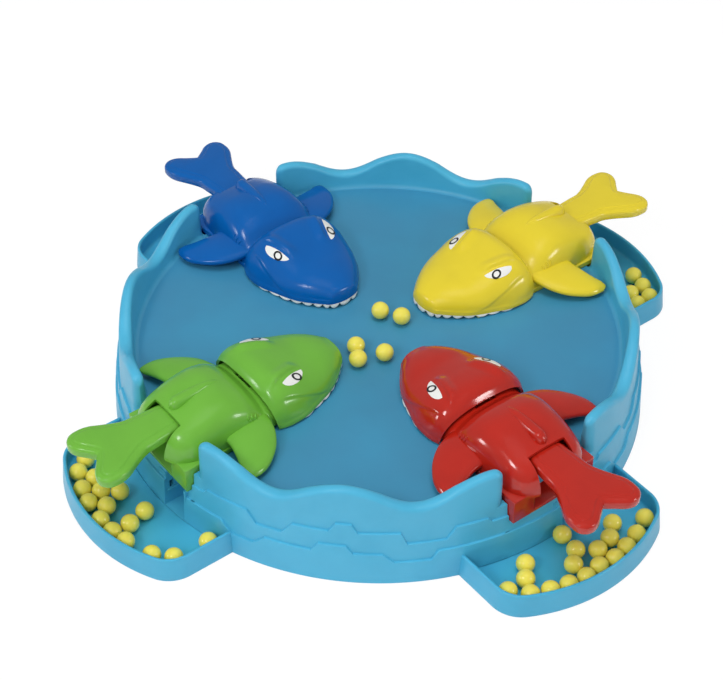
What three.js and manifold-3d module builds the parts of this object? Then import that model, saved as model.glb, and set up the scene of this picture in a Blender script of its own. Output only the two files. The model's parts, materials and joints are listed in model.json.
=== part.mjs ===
// Snapping shark game: a round ball basin with four tail-operated sharks and four ball trays.
// Millimetres, +Z up. The origin is the basin's centre on the table.
import * as THREE from "three";
import { mergeVertices } from "three/addons/utils/BufferGeometryUtils.js";
import Module from "manifold-3d";

const wasm = await Module();
wasm.setup();

// Fits shared by every piece
const seatGap = 0.3; // between pieces that rest on or fit in one another
const runningGap = 0.5; // between pieces that move past one another
const overrun = 6; // how far a cutting shape runs past what it cuts
const bite = 1; // how far joined shapes run into one another

// Basin
const basin = {
  centreSpace: 36, // from its centre to a shark's nose
  wall: 2.4,
  floorHeight: 46,
  floorThickness: 2.5,
  skirtHeight: 31.7, // the skirt that passes under the sharks, inside the trays
  crownHeight: 66, // mean height of the wavy crown
  crownLean: 3.8, // how far its outside leans in from the table to the mean height
  crownThickness: 7.6, // at the mean height
  crownFlare: 1.4, // how far its inside leans out from the floor to the mean height
  crownGap: 0.9, // between a shark's side and the end of the crown
  waveHeight: 6.4, // peak above the mean height
  troughDepth: 8.6, // trough below the mean height
  wavePitch: 30.5, // degrees between peaks
  crestDepth: 3.6, // solid plastic between the hollow inside the crown and its lowest shoulder
  crownRounding: 4, // top edge and ends
  thinnestEndShare: 0.4, // thickness left at the very end of a crown
  shoulderDrop: 1, // from the floor down to the ledges beside a shark's chute
};
// Two terraces run round the skirt, each lower one further out than what is above it.
const terrace = { step: 1.6 };
// Along a crown from end to end, height of each terrace's edge in crown heights
const upperTerraceShares = [
  [-1, 0.55],
  [-0.93, 0.55],
  [-0.905, 0.6],
  [-0.61, 0.6],
  [-0.545, 0.465],
  [-0.38, 0.465],
  [-0.31, 0.6],
  [-0.085, 0.6],
  [-0.045, 0.7],
  [0.055, 0.7],
  [0.09, 0.6],
  [0.35, 0.6],
  [0.385, 0.465],
  [0.625, 0.465],
  [0.685, 0.6],
  [0.89, 0.6],
  [0.915, 0.55],
  [1, 0.55],
];
const lowerTerraceShares = [
  [-1, 0.365],
  [-0.78, 0.355],
  [-0.71, 0.24],
  [-0.56, 0.24],
  [-0.485, 0.35],
  [-0.19, 0.35],
  [-0.145, 0.45],
  [0.025, 0.45],
  [0.065, 0.36],
  [0.24, 0.36],
  [0.31, 0.26],
  [0.53, 0.26],
  [0.57, 0.36],
  [1, 0.365],
];
const sharkCount = 4;
const quarterTurn = 360 / sharkCount;

// Ball tray, drawn outwards from the skirt
const tray = {
  depth: 52, // from the skirt's foot to its furthest point
  halfWidth: 66,
  height: 17,
  wall: 2.2,
  floor: 2.4,
  frontRadius: 113, // radius of the front wall in plan
  cornerRadius: 22,
  draft: 1.8, // how far the wall leans in over its height
  tabWidth: 12,
  tabPlace: 44, // across, from the shark's centre line to a tab's middle
  tabOverlap: 8, // how far a tab runs under the tray's floor
  hookHeight: 6,
  hookWidth: 3,
};

// Pocket in the skirt beside each ball outlet
const pocket = { inner: 8, outer: 27.5, depth: 16, wall: 1.6, slotWidth: 6, slotHeight: 10, slotPlace: 15 };

// Balls
const ballDiameter = 12;
const ballRadius = ballDiameter / 2;

// Head: a domed helmet with an open underside, hinged on ears inside the neck
const head = {
  length: 70, // from the tip of the nose to the foot of the rear rim
  halfWidth: 36.8,
  height: 27.6,
  rimLip: 1.2, // height of the lip over the floor, at the rim
  noseLip: 4.8, // height of the lip over the floor, at the nose
  rimLean: 3.7, // how far the top of the rim leans back
  shell: 1.8,
  squareness: 2.5,
};
// Along the head, half width, height above the lip
const headShares = [
  [0, 0.06, 0.1],
  [0.03, 0.28, 0.3],
  [0.08, 0.38, 0.39],
  [0.16, 0.52, 0.5],
  [0.28, 0.69, 0.6],
  [0.42, 0.83, 0.67],
  [0.56, 0.91, 0.79],
  [0.7, 0.985, 0.92],
  [0.85, 1, 1],
  [0.94, 0.975, 0.93],
  [1, 0.935, 0.775],
];
const headCavityShares = [0.05, 0.16, 0.42, 0.7, 0.85];
// The hinge's place behind the rim and over the floor, and its stubs
const headHinge = { setback: 2.8, rise: 15.4, stubRadius: 1.5, stubLength: 3.4 };
const ear = { inner: 5.6, thickness: 2.7, radius: 2, depth: 3, front: 17.6, webRear: 8, barWidth: 3 };
// Brow: its middle behind the nose, across and over the floor, its half sizes and its turn in degrees
const brow = { setback: 48, side: 20.5, height: 20.5, length: 14, width: 6.5, rise: 6.3, turn: 16 };

// Teeth: one strip under the lip
const teeth = {
  count: 17,
  width: 2.2,
  inset: 0.4,
  strip: 0.6,
  frontDrop: 2.8,
  rearDrop: 1,
  rearShare: 0.74, // how far back along the head they go
  crowding: 1.7, // how much closer they stand towards the nose
};

// Body: a domed shell with neck, fins and a squared cut for the tail
const body = {
  overhang: 0.5, // how far the rear of its lobes stands out past the skirt's foot
  length: 66.9, // behind the neck
  halfWidth: 31.9,
  foot: 1, // height over the floor from which the dome is drawn
  height: 30.7,
  shell: 1.8,
  neckOverlap: 8, // how far the neck runs under the head
  neckStep: 5.6, // from the head's rim to the end of the neck
  squareness: 3,
};
// Along the body behind the neck, half width, height above the foot, squareness
const bodyShares = [
  [0.03, 0.98, 0.671, 0.87],
  [0.1, 0.99, 0.8, 0.93],
  [0.195, 1, 0.915, 1],
  [0.365, 0.995, 1, 1],
  [0.52, 0.97, 0.97, 1],
  [0.65, 0.95, 0.893, 1],
  [0.77, 0.915, 0.801, 1],
  [0.867, 0.84, 0.707, 1],
  [0.933, 0.74, 0.59, 0.93],
  [0.978, 0.6, 0.417, 0.87],
  [1, 0.5, 0.24, 0.8],
];
const bodyCavityShares = [0.03, 0.195, 0.365, 0.65, 0.77, 0.867, 0.955];
const tailCut = { depth: 14, halfWidth: 14.5 };

// Pectoral fin, from its root in the body's side to its tip. It starts ahead of the neck's end by its lead
// and ends short of the body's end by its rear gap.
const pectoral = { root: 28, span: 35, lead: 2.6, rearGap: 29.5, rootHeight: 10, drop: 5, thickness: 10 };
// Out along the fin, leading edge, trailing edge, drop, thickness
const pectoralShares = [
  [0, 0, 0.85, 0, 1],
  [0.23, 0.05, 0.85, 0.1, 1],
  [0.46, 0.125, 0.89, 0.3, 0.9],
  [0.69, 0.275, 0.95, 0.6, 0.8],
  [0.86, 0.46, 1, 0.8, 0.66],
  [0.96, 0.625, 0.99, 0.94, 0.48],
  [1, 0.725, 0.93, 1, 0.24],
];
// Dorsal fin: it starts behind the neck's end and stands a little over the body
const dorsal = { setback: 15.4, length: 36, halfWidth: 4.3, rise: 1.1, depth: 7.3, squareness: 1.8 };
// Along the fin, half width, height
const dorsalShares = [
  [0, 0.2, 0.62],
  [0.36, 0.7, 0.93],
  [0.64, 0.95, 1],
  [0.84, 1, 1],
  [0.95, 0.8, 0.78],
  [1, 0.45, 0.2],
];

// Chute: the flange under the body, the sloping ball channel and the lower jaw in front
const chute = {
  jawSetback: 26.5, // from the nose to the front of the lower jaw
  jawHalfWidth: 29,
  jawThickness: 0.9,
  flangeSetback: 2.3, // from the head's rim to the front of the flange
  flangeHeight: 4, // over the floor
  blockGap: 1.5, // between the basin's floor and the end block
  blockFloor: 2.4, // under the outlet
  channelHalfWidth: 15.5,
  channelStep: 0.4, // how far the channel starts below the basin's floor
  wall: 2.2,
};

// Tail lever with its fluke, hub and lifting arm
const tail = {
  setback: 6.5, // from the hinge to the front of the plate
  length: 89.8,
  halfSpan: 27.5,
  rise: 6.9, // from the hinge up to the top of the plate at the tail cut
  flukeDrop: 1.9, // from there to the top of the plate at its end
  thickness: 4.4,
  edge: 1.4, // chamfer round the plate
  hubHalfWidth: 6,
  hubRadius: 4.2,
  armHalfWidth: 4.5,
  armThickness: 1.9,
  armReach: 0.7, // how far the arm runs past the head's lifting bar
};
// Along the plate from its front, half width
const flukeShares = [
  [0, 0.41],
  [0.31, 0.41],
  [0.335, 0.46],
  [0.5, 0.48],
  [0.59, 0.55],
  [0.68, 0.73],
  [0.77, 0.9],
  [0.865, 1],
  [0.945, 0.965],
  [0.99, 0.8],
  [1, 0.6],
  [0.977, 0.4],
  [0.935, 0.22],
];
const flukeNotchShare = 0.892;
// The hinge's place behind the neck's end and over the floor, and its pin
const tailHinge = { setback: 18.4, rise: 15, pinRadius: 1.5, pinHalfLength: 19 };
const hanger = { inner: 15, thickness: 2.5, halfLength: 5, drop: 4 };

// Return spring round the tail pin
const spring = { wire: 1, radius: 3.2, pitch: 2, turns: 2.25, legReach: 9.5, legRise: 8.5 };

// Pegs of the body that pass through the chute into the basin's floor
const peg = { inset: 28.5, side: 24, radius: 2, bossRadius: 3.2 };

// Places along a shark, from the basin's centre outwards
const nose = basin.centreSpace;
const jawFront = nose + chute.jawSetback;
const headRim = nose + head.length;
const neckStart = headRim - body.neckOverlap;
const flangeFront = headRim + chute.flangeSetback;
const headHingeReach = headRim + headHinge.setback;
const earFront = headHingeReach - ear.front;
const earWebEnd = headHingeReach - ear.webRear;
const neckEnd = headRim + body.neckStep;
const tailHingeReach = neckEnd + tailHinge.setback;
const tailFront = tailHingeReach + tail.setback;
const tailEnd = tailFront + tail.length;
const bodyEnd = neckEnd + body.length;
const tailCutStart = bodyEnd - tailCut.depth;
const pegReach = bodyEnd - peg.inset;
const pectoralFront = neckEnd - pectoral.lead;
const pectoralLength = bodyEnd - pectoral.rearGap - pectoralFront;

// Radii of the basin
const skirtRadius = bodyEnd - body.overhang; // outside of the skirt on the table
const bareRadius = skirtRadius - 2 * terrace.step;
const crownOuterRadius = bareRadius - basin.crownLean;
const crownInnerRadius = crownOuterRadius - basin.crownThickness;
const floorRadius = crownInnerRadius - basin.crownFlare;

// Ends of the chute's block
const blockStart = floorRadius + chute.blockGap;
const chuteEnd = bareRadius;

// Heights over the table
const bodyFoot = basin.floorHeight + body.foot;
const bodyTop = bodyFoot + body.height;
const flangeTop = basin.floorHeight + chute.flangeHeight;
const headHingeHeight = basin.floorHeight + headHinge.rise;
const tailHingeHeight = basin.floorHeight + tailHinge.rise;
const tailRootTop = tailHingeHeight + tail.rise;
const headRimTop = basin.floorHeight + head.rimLip + head.height;
const blockFoot = basin.skirtHeight + seatGap;
const channelStart = basin.floorHeight - chute.channelStep;
const channelEnd = blockFoot + chute.blockFloor;
const crownHollowTop = basin.crownHeight - basin.troughDepth - basin.crownRounding - basin.crestDepth;

const finishes = {
  basin: { color: "#4aa3cc", roughness: 0.42, metalness: 0 },
  tray: { color: "#3f9fca", roughness: 0.4, metalness: 0 },
  red: { color: "#c22a1e", roughness: 0.16, metalness: 0 },
  green: { color: "#74bd3c", roughness: 0.22, metalness: 0 },
  yellow: { color: "#ecd838", roughness: 0.22, metalness: 0 },
  blue: { color: "#0a5db5", roughness: 0.22, metalness: 0 },
  teeth: { color: "#f2f2ee", roughness: 0.35, metalness: 0 },
  ball: { color: "#ecdc52", roughness: 0.3, metalness: 0 },
  steel: { color: "#b9bcc0", roughness: 0.3, metalness: 1 },
};

const up = new THREE.Vector3(0, 0, 1);
const radians = THREE.MathUtils.degToRad;

// A closed geometry as a solid, turned right side out.
function solid(geometry) {
  const bare = geometry.clone();
  for (const name of ["normal", "uv"]) {
    bare.deleteAttribute(name);
  }
  const merged = mergeVertices(bare);
  const places = merged.attributes.position;
  const corners = [];
  let volume = 0;
  const [a, b, c] = [new THREE.Vector3(), new THREE.Vector3(), new THREE.Vector3()];
  for (let i = 0; i < merged.index.count; i += 3) {
    const face = [0, 1, 2].map((step) => merged.index.getX(i + step));
    if (new Set(face).size === 3) {
      corners.push(face);
      a.fromBufferAttribute(places, face[0]);
      b.fromBufferAttribute(places, face[1]);
      c.fromBufferAttribute(places, face[2]);
      volume += a.dot(b.cross(c));
    }
  }
  const turned = volume < 0 ? corners.map(([first, second, third]) => [first, third, second]) : corners;
  return new wasm.Manifold(
    new wasm.Mesh({
      numProp: 3,
      vertProperties: Float32Array.from(places.array),
      triVerts: Uint32Array.from(turned.flat()),
    }),
  );
}

// A solid as a named mesh in its finish.
function piece(name, shape, finish) {
  const mesh = shape.getMesh();
  const geometry = new THREE.BufferGeometry();
  geometry.setAttribute("position", new THREE.BufferAttribute(Float32Array.from(mesh.vertProperties), 3));
  geometry.setIndex(Array.from(mesh.triVerts));
  geometry.computeVertexNormals();
  const made = new THREE.Mesh(geometry, new THREE.MeshStandardMaterial(finishes[finish]));
  made.name = name;
  return made;
}

const joined = (shapes) => shapes.reduce((whole, shape) => whole.add(shape));
const cut = (shape, tools) => tools.reduce((rest, tool) => rest.subtract(tool), shape);

// A box between two corners, in any order.
function box(from, to) {
  const low = new THREE.Vector3(...from);
  const high = new THREE.Vector3(...to);
  const size = high.clone().sub(low);
  const geometry = new THREE.BoxGeometry(Math.abs(size.x), Math.abs(size.y), Math.abs(size.z));
  const middle = low.add(high).multiplyScalar(1 / 2);
  return solid(geometry.translate(middle.x, middle.y, middle.z));
}

// A cylinder across the shark, between two places on Y.
function crossBar(radius, reach, height, from, to, sides = 12) {
  const geometry = new THREE.CylinderGeometry(radius, radius, Math.abs(to - from), sides);
  return solid(geometry.translate(reach, (from + to) / 2, height));
}

// An upright cylinder between two heights.
function post(radius, x, y, from, to, sides = 12) {
  const geometry = new THREE.CylinderGeometry(radius, radius, to - from, sides);
  return solid(geometry.rotateX(radians(90)).translate(x, y, (from + to) / 2));
}

// A body between outlines with equal numbers of points, each point placed by its outline's number.
function loft(outlines, place) {
  const count = outlines[0].length;
  const places = outlines.flatMap((outline, station) => outline.map((point) => place(point, station)));
  const faces = [];
  for (let station = 0; station + 1 < outlines.length; station += 1) {
    for (let i = 0; i < count; i += 1) {
      const here = station * count;
      const next = (i + 1) % count;
      faces.push(here + i, here + count + i, here + next);
      faces.push(here + next, here + count + i, here + count + next);
    }
  }
  const last = (outlines.length - 1) * count;
  for (const [first, second, third] of THREE.ShapeUtils.triangulateShape(outlines[0], [])) {
    faces.push(first, second, third);
  }
  for (const [first, second, third] of THREE.ShapeUtils.triangulateShape(outlines.at(-1), [])) {
    faces.push(last + first, last + third, last + second);
  }
  const geometry = new THREE.BufferGeometry().setFromPoints(places);
  geometry.setIndex(faces);
  return solid(geometry);
}

// A side view in X and Z, given thickness across Y.
function slab(points, from, to) {
  const shape = new THREE.Shape(points.map(([x, z]) => new THREE.Vector2(x, z)));
  const geometry = new THREE.ExtrudeGeometry(shape, { depth: to - from, bevelEnabled: false });
  return solid(geometry.rotateX(radians(90)).translate(0, to, 0));
}

// Values of a table at a share of its first column, by straight lines between rows.
function rowAt(table, share) {
  const after = Math.max(1, table.findIndex((row) => row[0] >= share));
  const [low, high] = [table[after - 1], table[after]];
  const part = (share - low[0]) / (high[0] - low[0]);
  return low.map((value, i) => THREE.MathUtils.lerp(value, high[i], part));
}

// Half a superellipse: from the right foot over the top to the left foot.
function domeOutline(halfWidth, height, squareness, steps, footDrop = 0) {
  const points = [];
  for (let i = 0; i <= steps; i += 1) {
    const angle = (Math.PI * i) / steps;
    const across = Math.sign(Math.cos(angle)) * Math.abs(Math.cos(angle)) ** (2 / squareness);
    const rise = Math.abs(Math.sin(angle)) ** (2 / squareness);
    points.push(new THREE.Vector2(halfWidth * across, height * rise));
  }
  if (footDrop > 0) {
    points.unshift(new THREE.Vector2(halfWidth, -footDrop));
    points.push(new THREE.Vector2(-halfWidth, -footDrop));
  }
  return points;
}

// Radius of the outside and of the inside of the crown at a height.
const outerRadiusAt = (height) => bareRadius - basin.crownLean * (height / basin.crownHeight);
const innerRadiusAt = (height) =>
  floorRadius + (basin.crownFlare * (height - basin.floorHeight)) / (basin.crownHeight - basin.floorHeight);

// Half width of the opening that the crown leaves for a shark, and half a crown's span in degrees.
const openingHalf = body.halfWidth + basin.crownGap;
const crownEnd = THREE.MathUtils.radToDeg(Math.asin(openingHalf / innerRadiusAt(flangeTop)));
const crownHalf = quarterTurn / 2 - crownEnd;

// Height of the wavy crown at an angle from the middle of a crown.
function crownTopAt(angle) {
  const wave = Math.cos(radians((360 * angle) / basin.wavePitch));
  return basin.crownHeight + wave * (wave > 0 ? basin.waveHeight : basin.troughDepth);
}

// One section of the crown, thinned and lowered where the ends are rounded.
function crownSection(angle, endDistance) {
  const inset = Math.max(0, 1 - endDistance / basin.crownRounding);
  const round = Math.max(basin.thinnestEndShare, Math.sqrt(1 - inset ** 2));
  const top = crownTopAt(angle) - basin.crownRounding * (1 - round);
  const shoulder = top - basin.crownRounding;
  const at = (height, side) => {
    const middle = (outerRadiusAt(height) + innerRadiusAt(height)) / 2;
    const half = ((outerRadiusAt(height) - innerRadiusAt(height)) / 2) * round;
    return new THREE.Vector2(middle + half * side, height);
  };
  const crestSteps = 4;
  const crest = Array.from({ length: crestSteps - 1 }, (_, i) => {
    const climb = (Math.PI * (i + 1)) / crestSteps;
    const point = at(shoulder, Math.cos(climb));
    point.y += basin.crownRounding * Math.sin(climb);
    return point;
  });
  const floorEdge = new THREE.Vector2(floorRadius - bite, basin.floorHeight - bite);
  const floorFoot = new THREE.Vector2(floorRadius - bite, 0);
  return [at(0, 1), at(shoulder, 1), ...crest, at(shoulder, -1), floorEdge, floorFoot];
}

// Shares from -1 to 1 with every gap wider than a step filled evenly.
function filled(shares, step) {
  return shares.flatMap((share, i) => {
    const count = i === 0 ? 1 : Math.max(1, Math.ceil((share - shares[i - 1]) / step));
    const start = i === 0 ? share : shares[i - 1];
    return Array.from({ length: count }, (_, k) => start + ((share - start) * (k + 1)) / count);
  });
}

// A body that follows the crown, from sections at angles measured from the middle of the crown.
function roundLoft(angles, sectionAt, turn) {
  return loft(angles.map(sectionAt), (point, station) => {
    const angle = radians(turn + angles[station]);
    return new THREE.Vector3(point.x * Math.cos(angle), point.x * Math.sin(angle), point.y);
  });
}

// One stretch of the crown with its skirt.
function crown(turn) {
  const perDegree = radians(1) * crownOuterRadius;
  const ends = [0, 0.3, 1].map((share) => 1 - (share * basin.crownRounding) / (perDegree * crownHalf));
  const shares = filled([...ends.map((share) => -share), ...ends.reverse()], 1 / 6);
  const angles = shares.map((share) => share * crownHalf);
  return roundLoft(angles, (angle) => crownSection(angle, (crownHalf - Math.abs(angle)) * perDegree), turn);
}

// One terrace of the skirt along a crown: its table of edge heights and how many steps it stands out.
function crownTerrace(turn, table, steps) {
  const shares = filled(
    table.map(([share]) => share),
    1 / 6,
  );
  const section = (share) => {
    const [, height] = rowAt(table, share);
    return bandSection(basin.crownHeight * height, steps);
  };
  const angles = shares.map((share) => share * crownHalf);
  return roundLoft(angles, (angle) => section(angle / crownHalf), turn);
}

// Section of a band round the foot of the skirt.
function bandSection(top, steps) {
  const out = terrace.step * steps;
  return [
    new THREE.Vector2(outerRadiusAt(0) + out, 0),
    new THREE.Vector2(outerRadiusAt(top) + out, top),
    new THREE.Vector2(outerRadiusAt(top) - bite, top),
    new THREE.Vector2(outerRadiusAt(0) - bite, 0),
  ];
}

// Skirt under one shark: both terraces run on through it, and a ledge stands on each side of the chute.
function lowSkirt(turn) {
  const half = crownEnd * (1 + bite / basin.crownRounding);
  const angles = filled([-1, 1], 1 / 3).map((share) => share * half);
  const inner = floorRadius - bite;
  const band = (top, steps) => {
    const outside = bandSection(top, steps).slice(0, 2);
    const section = [...outside, new THREE.Vector2(inner, top), new THREE.Vector2(inner, 0)];
    return roundLoft(angles, () => section, turn);
  };
  const lowest = band(basin.crownHeight * lowerTerraceShares[0][1], 2);
  const middle = band(basin.crownHeight * upperTerraceShares[0][1], 1);
  const ledges = band(basin.floorHeight - basin.shoulderDrop, 0);
  const seat = box([0, -openingHalf, basin.skirtHeight], [bodyEnd, openingHalf, basin.crownHeight]);
  return lowest.add(cut(middle.add(ledges), [turned(seat, turn)]));
}

// Hollow inside a crown, open below.
function crownHollow(turn) {
  const half = crownHalf - THREE.MathUtils.radToDeg((basin.wall + bite) / floorRadius);
  const angles = filled([-1, 1], 1 / 3).map((share) => share * half);
  const foot = basin.skirtHeight - basin.wall - bite;
  const section = () => [
    new THREE.Vector2(outerRadiusAt(foot) - basin.wall, foot),
    new THREE.Vector2(outerRadiusAt(crownHollowTop) - basin.wall, crownHollowTop),
    new THREE.Vector2(floorRadius + basin.wall, crownHollowTop),
    new THREE.Vector2(floorRadius - bite / 2, foot),
  ];
  return roundLoft(angles, section, turn);
}

// A shape turned round the basin's axis.
function turned(shape, degrees) {
  return shape.rotate([0, 0, degrees]);
}

const channelSlope = (channelStart - channelEnd) / (chuteEnd - flangeFront);
const channelFloorAt = (reach) => channelStart - channelSlope * (reach - flangeFront);
const troughHalfWidth = chute.channelHalfWidth + chute.wall;

// Holes for a shark's two pegs, between two heights.
function pegHoles(from, to) {
  return [-1, 1].map((side) => post(peg.radius + seatGap, pegReach, side * peg.side, from, to));
}

// Openings in the basin for one shark: ball channel, pegs, tray tabs and the pocket's mouth.
function basinOpenings() {
  const throat = troughHalfWidth + runningGap;
  const tabHalf = tray.tabWidth / 2 + seatGap;
  const rearwards = skirtRadius + overrun;
  const trough = box(
    [flangeFront - seatGap, -throat, blockFoot],
    [skirtRadius - overrun, throat, basin.floorHeight + overrun],
  );
  const holes = pegHoles(0, basin.floorHeight + overrun);
  const tabSlots = [-1, 1].map((side) =>
    box(
      [skirtRadius - pocket.depth, side * tray.tabPlace - tabHalf, -overrun],
      [rearwards, side * tray.tabPlace + tabHalf, tray.floor + seatGap],
    ),
  );
  const mouth = box(
    [skirtRadius - pocket.depth, pocket.inner, tray.floor + seatGap],
    [rearwards, pocket.outer, basin.skirtHeight + bite],
  );
  const slotStart = skirtRadius - pocket.depth + pocket.wall;
  const slot = box(
    [slotStart, pocket.inner - overrun, pocket.slotPlace],
    [slotStart + pocket.slotWidth, pocket.outer, pocket.slotPlace + pocket.slotHeight],
  );
  return [trough, ...holes, ...tabSlots, mouth, slot];
}

// Walls of the pocket, inside the skirt.
function pocketWalls() {
  const back = skirtRadius - pocket.depth - pocket.wall;
  const foot = tray.floor + seatGap - pocket.wall;
  return box(
    [back, pocket.inner - pocket.wall, foot],
    [outerRadiusAt(basin.skirtHeight) - bite, pocket.outer + pocket.wall, basin.skirtHeight],
  );
}

function makeBasin() {
  const outside = new THREE.LatheGeometry(
    [
      [0, 0],
      [floorRadius, 0],
      [floorRadius, basin.floorHeight],
      [0, basin.floorHeight],
    ].map(([radius, height]) => new THREE.Vector2(radius, height)),
    48,
  );
  const shelf = basin.skirtHeight - basin.wall;
  const underFloor = basin.floorHeight - basin.floorThickness;
  const inside = new THREE.LatheGeometry(
    [
      [0, -overrun],
      [outerRadiusAt(-overrun) - basin.wall, -overrun],
      [outerRadiusAt(shelf) - basin.wall, shelf],
      [floorRadius - basin.wall, shelf],
      [floorRadius - basin.wall, underFloor],
      [0, underFloor],
    ].map(([radius, height]) => new THREE.Vector2(radius, height)),
    48,
  );
  const turns = Array.from({ length: sharkCount }, (_, i) => i * quarterTurn);
  const solidBasin = joined([
    solid(outside.rotateX(radians(90))),
    ...turns.flatMap((turn) => {
      const middle = turn + quarterTurn / 2;
      return [
        crown(middle),
        crownTerrace(middle, upperTerraceShares, 1),
        crownTerrace(middle, lowerTerraceShares, 2),
        lowSkirt(turn),
      ];
    }),
  ]);
  const hollowed = cut(solidBasin, [
    solid(inside.rotateX(radians(90))),
    ...turns.map((turn) => crownHollow(turn + quarterTurn / 2)),
  ]);
  const walled = joined([hollowed, ...turns.map((turn) => turned(pocketWalls(), turn))]);
  const openings = turns.flatMap((turn) => basinOpenings().map((tool) => turned(tool, turn)));
  return piece("basin", cut(walled, openings), "basin");
}

// Tray outline in plan at a level: the inset moves its wall in, and the back follows the given radius.
function trayOutline(inset, backRadius) {
  const halfWidth = tray.halfWidth - inset;
  const front = tray.frontRadius - inset;
  const corner = tray.cornerRadius - inset;
  const centre = skirtRadius + tray.depth - tray.frontRadius;
  const cornerSide = tray.halfWidth - tray.cornerRadius;
  const cornerReach = centre + Math.sqrt((tray.frontRadius - tray.cornerRadius) ** 2 - cornerSide ** 2);
  const turn = Math.atan2(cornerSide, cornerReach - centre);
  const backTurn = Math.asin(halfWidth / backRadius);
  const shape = new THREE.Shape();
  shape.absarc(0, 0, backRadius, backTurn, -backTurn, true);
  shape.absarc(cornerReach, -cornerSide, corner, -Math.PI / 2, -turn, false);
  shape.absarc(centre, 0, front, -turn, turn, false);
  shape.absarc(cornerReach, cornerSide, corner, turn, Math.PI / 2, false);
  return shape.getPoints(4).slice(0, -1);
}

function makeTray(name) {
  const back = skirtRadius + seatGap;
  const level = (height) => (point) => new THREE.Vector3(point.x, point.y, height);
  const heights = [0, tray.height];
  const outer = loft([trayOutline(0, back), trayOutline(tray.draft, back)], (point, station) =>
    level(heights[station])(point),
  );
  const cutHeights = [tray.floor, tray.height + overrun];
  const inner = loft(
    cutHeights.map((height) => {
      const lean = (tray.draft * height) / tray.height;
      return trayOutline(tray.wall + lean, back - overrun);
    }),
    (point, station) => level(cutHeights[station])(point),
  );
  const skirtEdge = Math.sqrt(skirtRadius ** 2 - tray.tabPlace ** 2);
  const tabHalf = tray.tabWidth / 2;
  const hookRadius = outerRadiusAt(tray.hookHeight) - basin.wall - runningGap;
  const hookBack = Math.sqrt(hookRadius ** 2 - (tray.tabPlace + tabHalf) ** 2);
  const tabs = [-1, 1].flatMap((side) => {
    const edges = [side * tray.tabPlace - tabHalf, side * tray.tabPlace + tabHalf];
    const start = [hookBack - tray.hookWidth, edges[0], 0];
    const tab = box(start, [skirtEdge + tray.tabOverlap, edges[1], tray.floor]);
    const hook = box(start, [hookBack, edges[1], tray.hookHeight]);
    return [tab, hook];
  });
  return piece(name, joined([cut(outer, [inner]), ...tabs]), "tray");
}

// Places on the head: the lip rises towards the nose and the rim leans back.
const headMiddleShares = headShares.slice(2, -1).map(([share]) => share);
const lipAt = (share) => basin.floorHeight + THREE.MathUtils.lerp(head.noseLip, head.rimLip, share);
function headPlace(point, share) {
  const lean = (head.rimLean * share * Math.max(0, point.y)) / (head.height * headShares.at(-1)[2]);
  return new THREE.Vector3(nose + head.length * share + lean, point.x, lipAt(share) + point.y);
}

function headDome() {
  const outlines = headShares.map(([, width, height]) =>
    domeOutline(head.halfWidth * width, head.height * height, head.squareness, 10),
  );
  return loft(outlines, (point, station) => headPlace(point, headShares[station][0]));
}

// Space inside the dome, at a depth below its surface, open below and behind.
function headSpace(depth, alongShares) {
  const pastRim = 1 + overrun / head.length;
  const shares = [...alongShares, 1, pastRim];
  const outlines = shares.map((share) => {
    const [, width, height] = rowAt(headShares, Math.min(share, 1));
    const size = [head.halfWidth * width - depth, head.height * height - depth];
    return domeOutline(...size, head.squareness, 10, overrun);
  });
  return loft(outlines, (point, station) => headPlace(point, shares[station]));
}

const earOuter = ear.inner + ear.thickness;
const earTop = headHingeHeight + ear.depth / 2;
const earFoot = headHingeHeight - ear.depth / 2 + seatGap;

// Ear on one side: a bar from the hinge to the lifting bar, a web up to the dome, and a stub.
function headEar(side) {
  const faces = [side * ear.inner, side * earOuter];
  const bar = box([earFront, faces[0], earFoot], [headHingeReach, faces[1], earTop]);
  const web = box([earFront, faces[0], earFoot], [earWebEnd, faces[1], headRimTop]);
  const eye = crossBar(ear.radius, headHingeReach, headHingeHeight, ...faces);
  const stubEnd = side * (earOuter + headHinge.stubLength);
  const stub = crossBar(headHinge.stubRadius, headHingeReach, headHingeHeight, faces[0], stubEnd);
  return joined([bar, web, eye, stub]);
}

// Brow over one eye.
function headBrow(side) {
  const geometry = new THREE.SphereGeometry(1, 8, 5);
  geometry.scale(brow.length, brow.width, brow.rise);
  geometry.rotateZ(radians(side * brow.turn));
  return solid(geometry.translate(nose + brow.setback, side * brow.side, basin.floorHeight + brow.height));
}

function makeHead(colour) {
  const dome = headDome();
  const cavity = headSpace(head.shell, headCavityShares);
  const barFoot = tailHingeHeight + tail.armThickness / 2 + runningGap;
  const liftBar = box(
    [earFront, -earOuter, barFoot],
    [earFront + ear.barWidth, earOuter, barFoot + ear.barWidth],
  );
  const inside = joined([headEar(-1), headEar(1), liftBar]);
  const rear = box([earWebEnd, -head.halfWidth, 0], [bodyEnd, head.halfWidth, headRimTop + head.height]);
  const underDome = headSpace(head.shell / 2, headMiddleShares);
  const kept = joined([inside.intersect(underDome), inside.intersect(rear)]);
  const brows = joined([headBrow(-1), headBrow(1)]);
  return piece(`${colour}_head`, joined([cut(dome.add(brows), [cavity]), kept]), colour);
}

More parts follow.
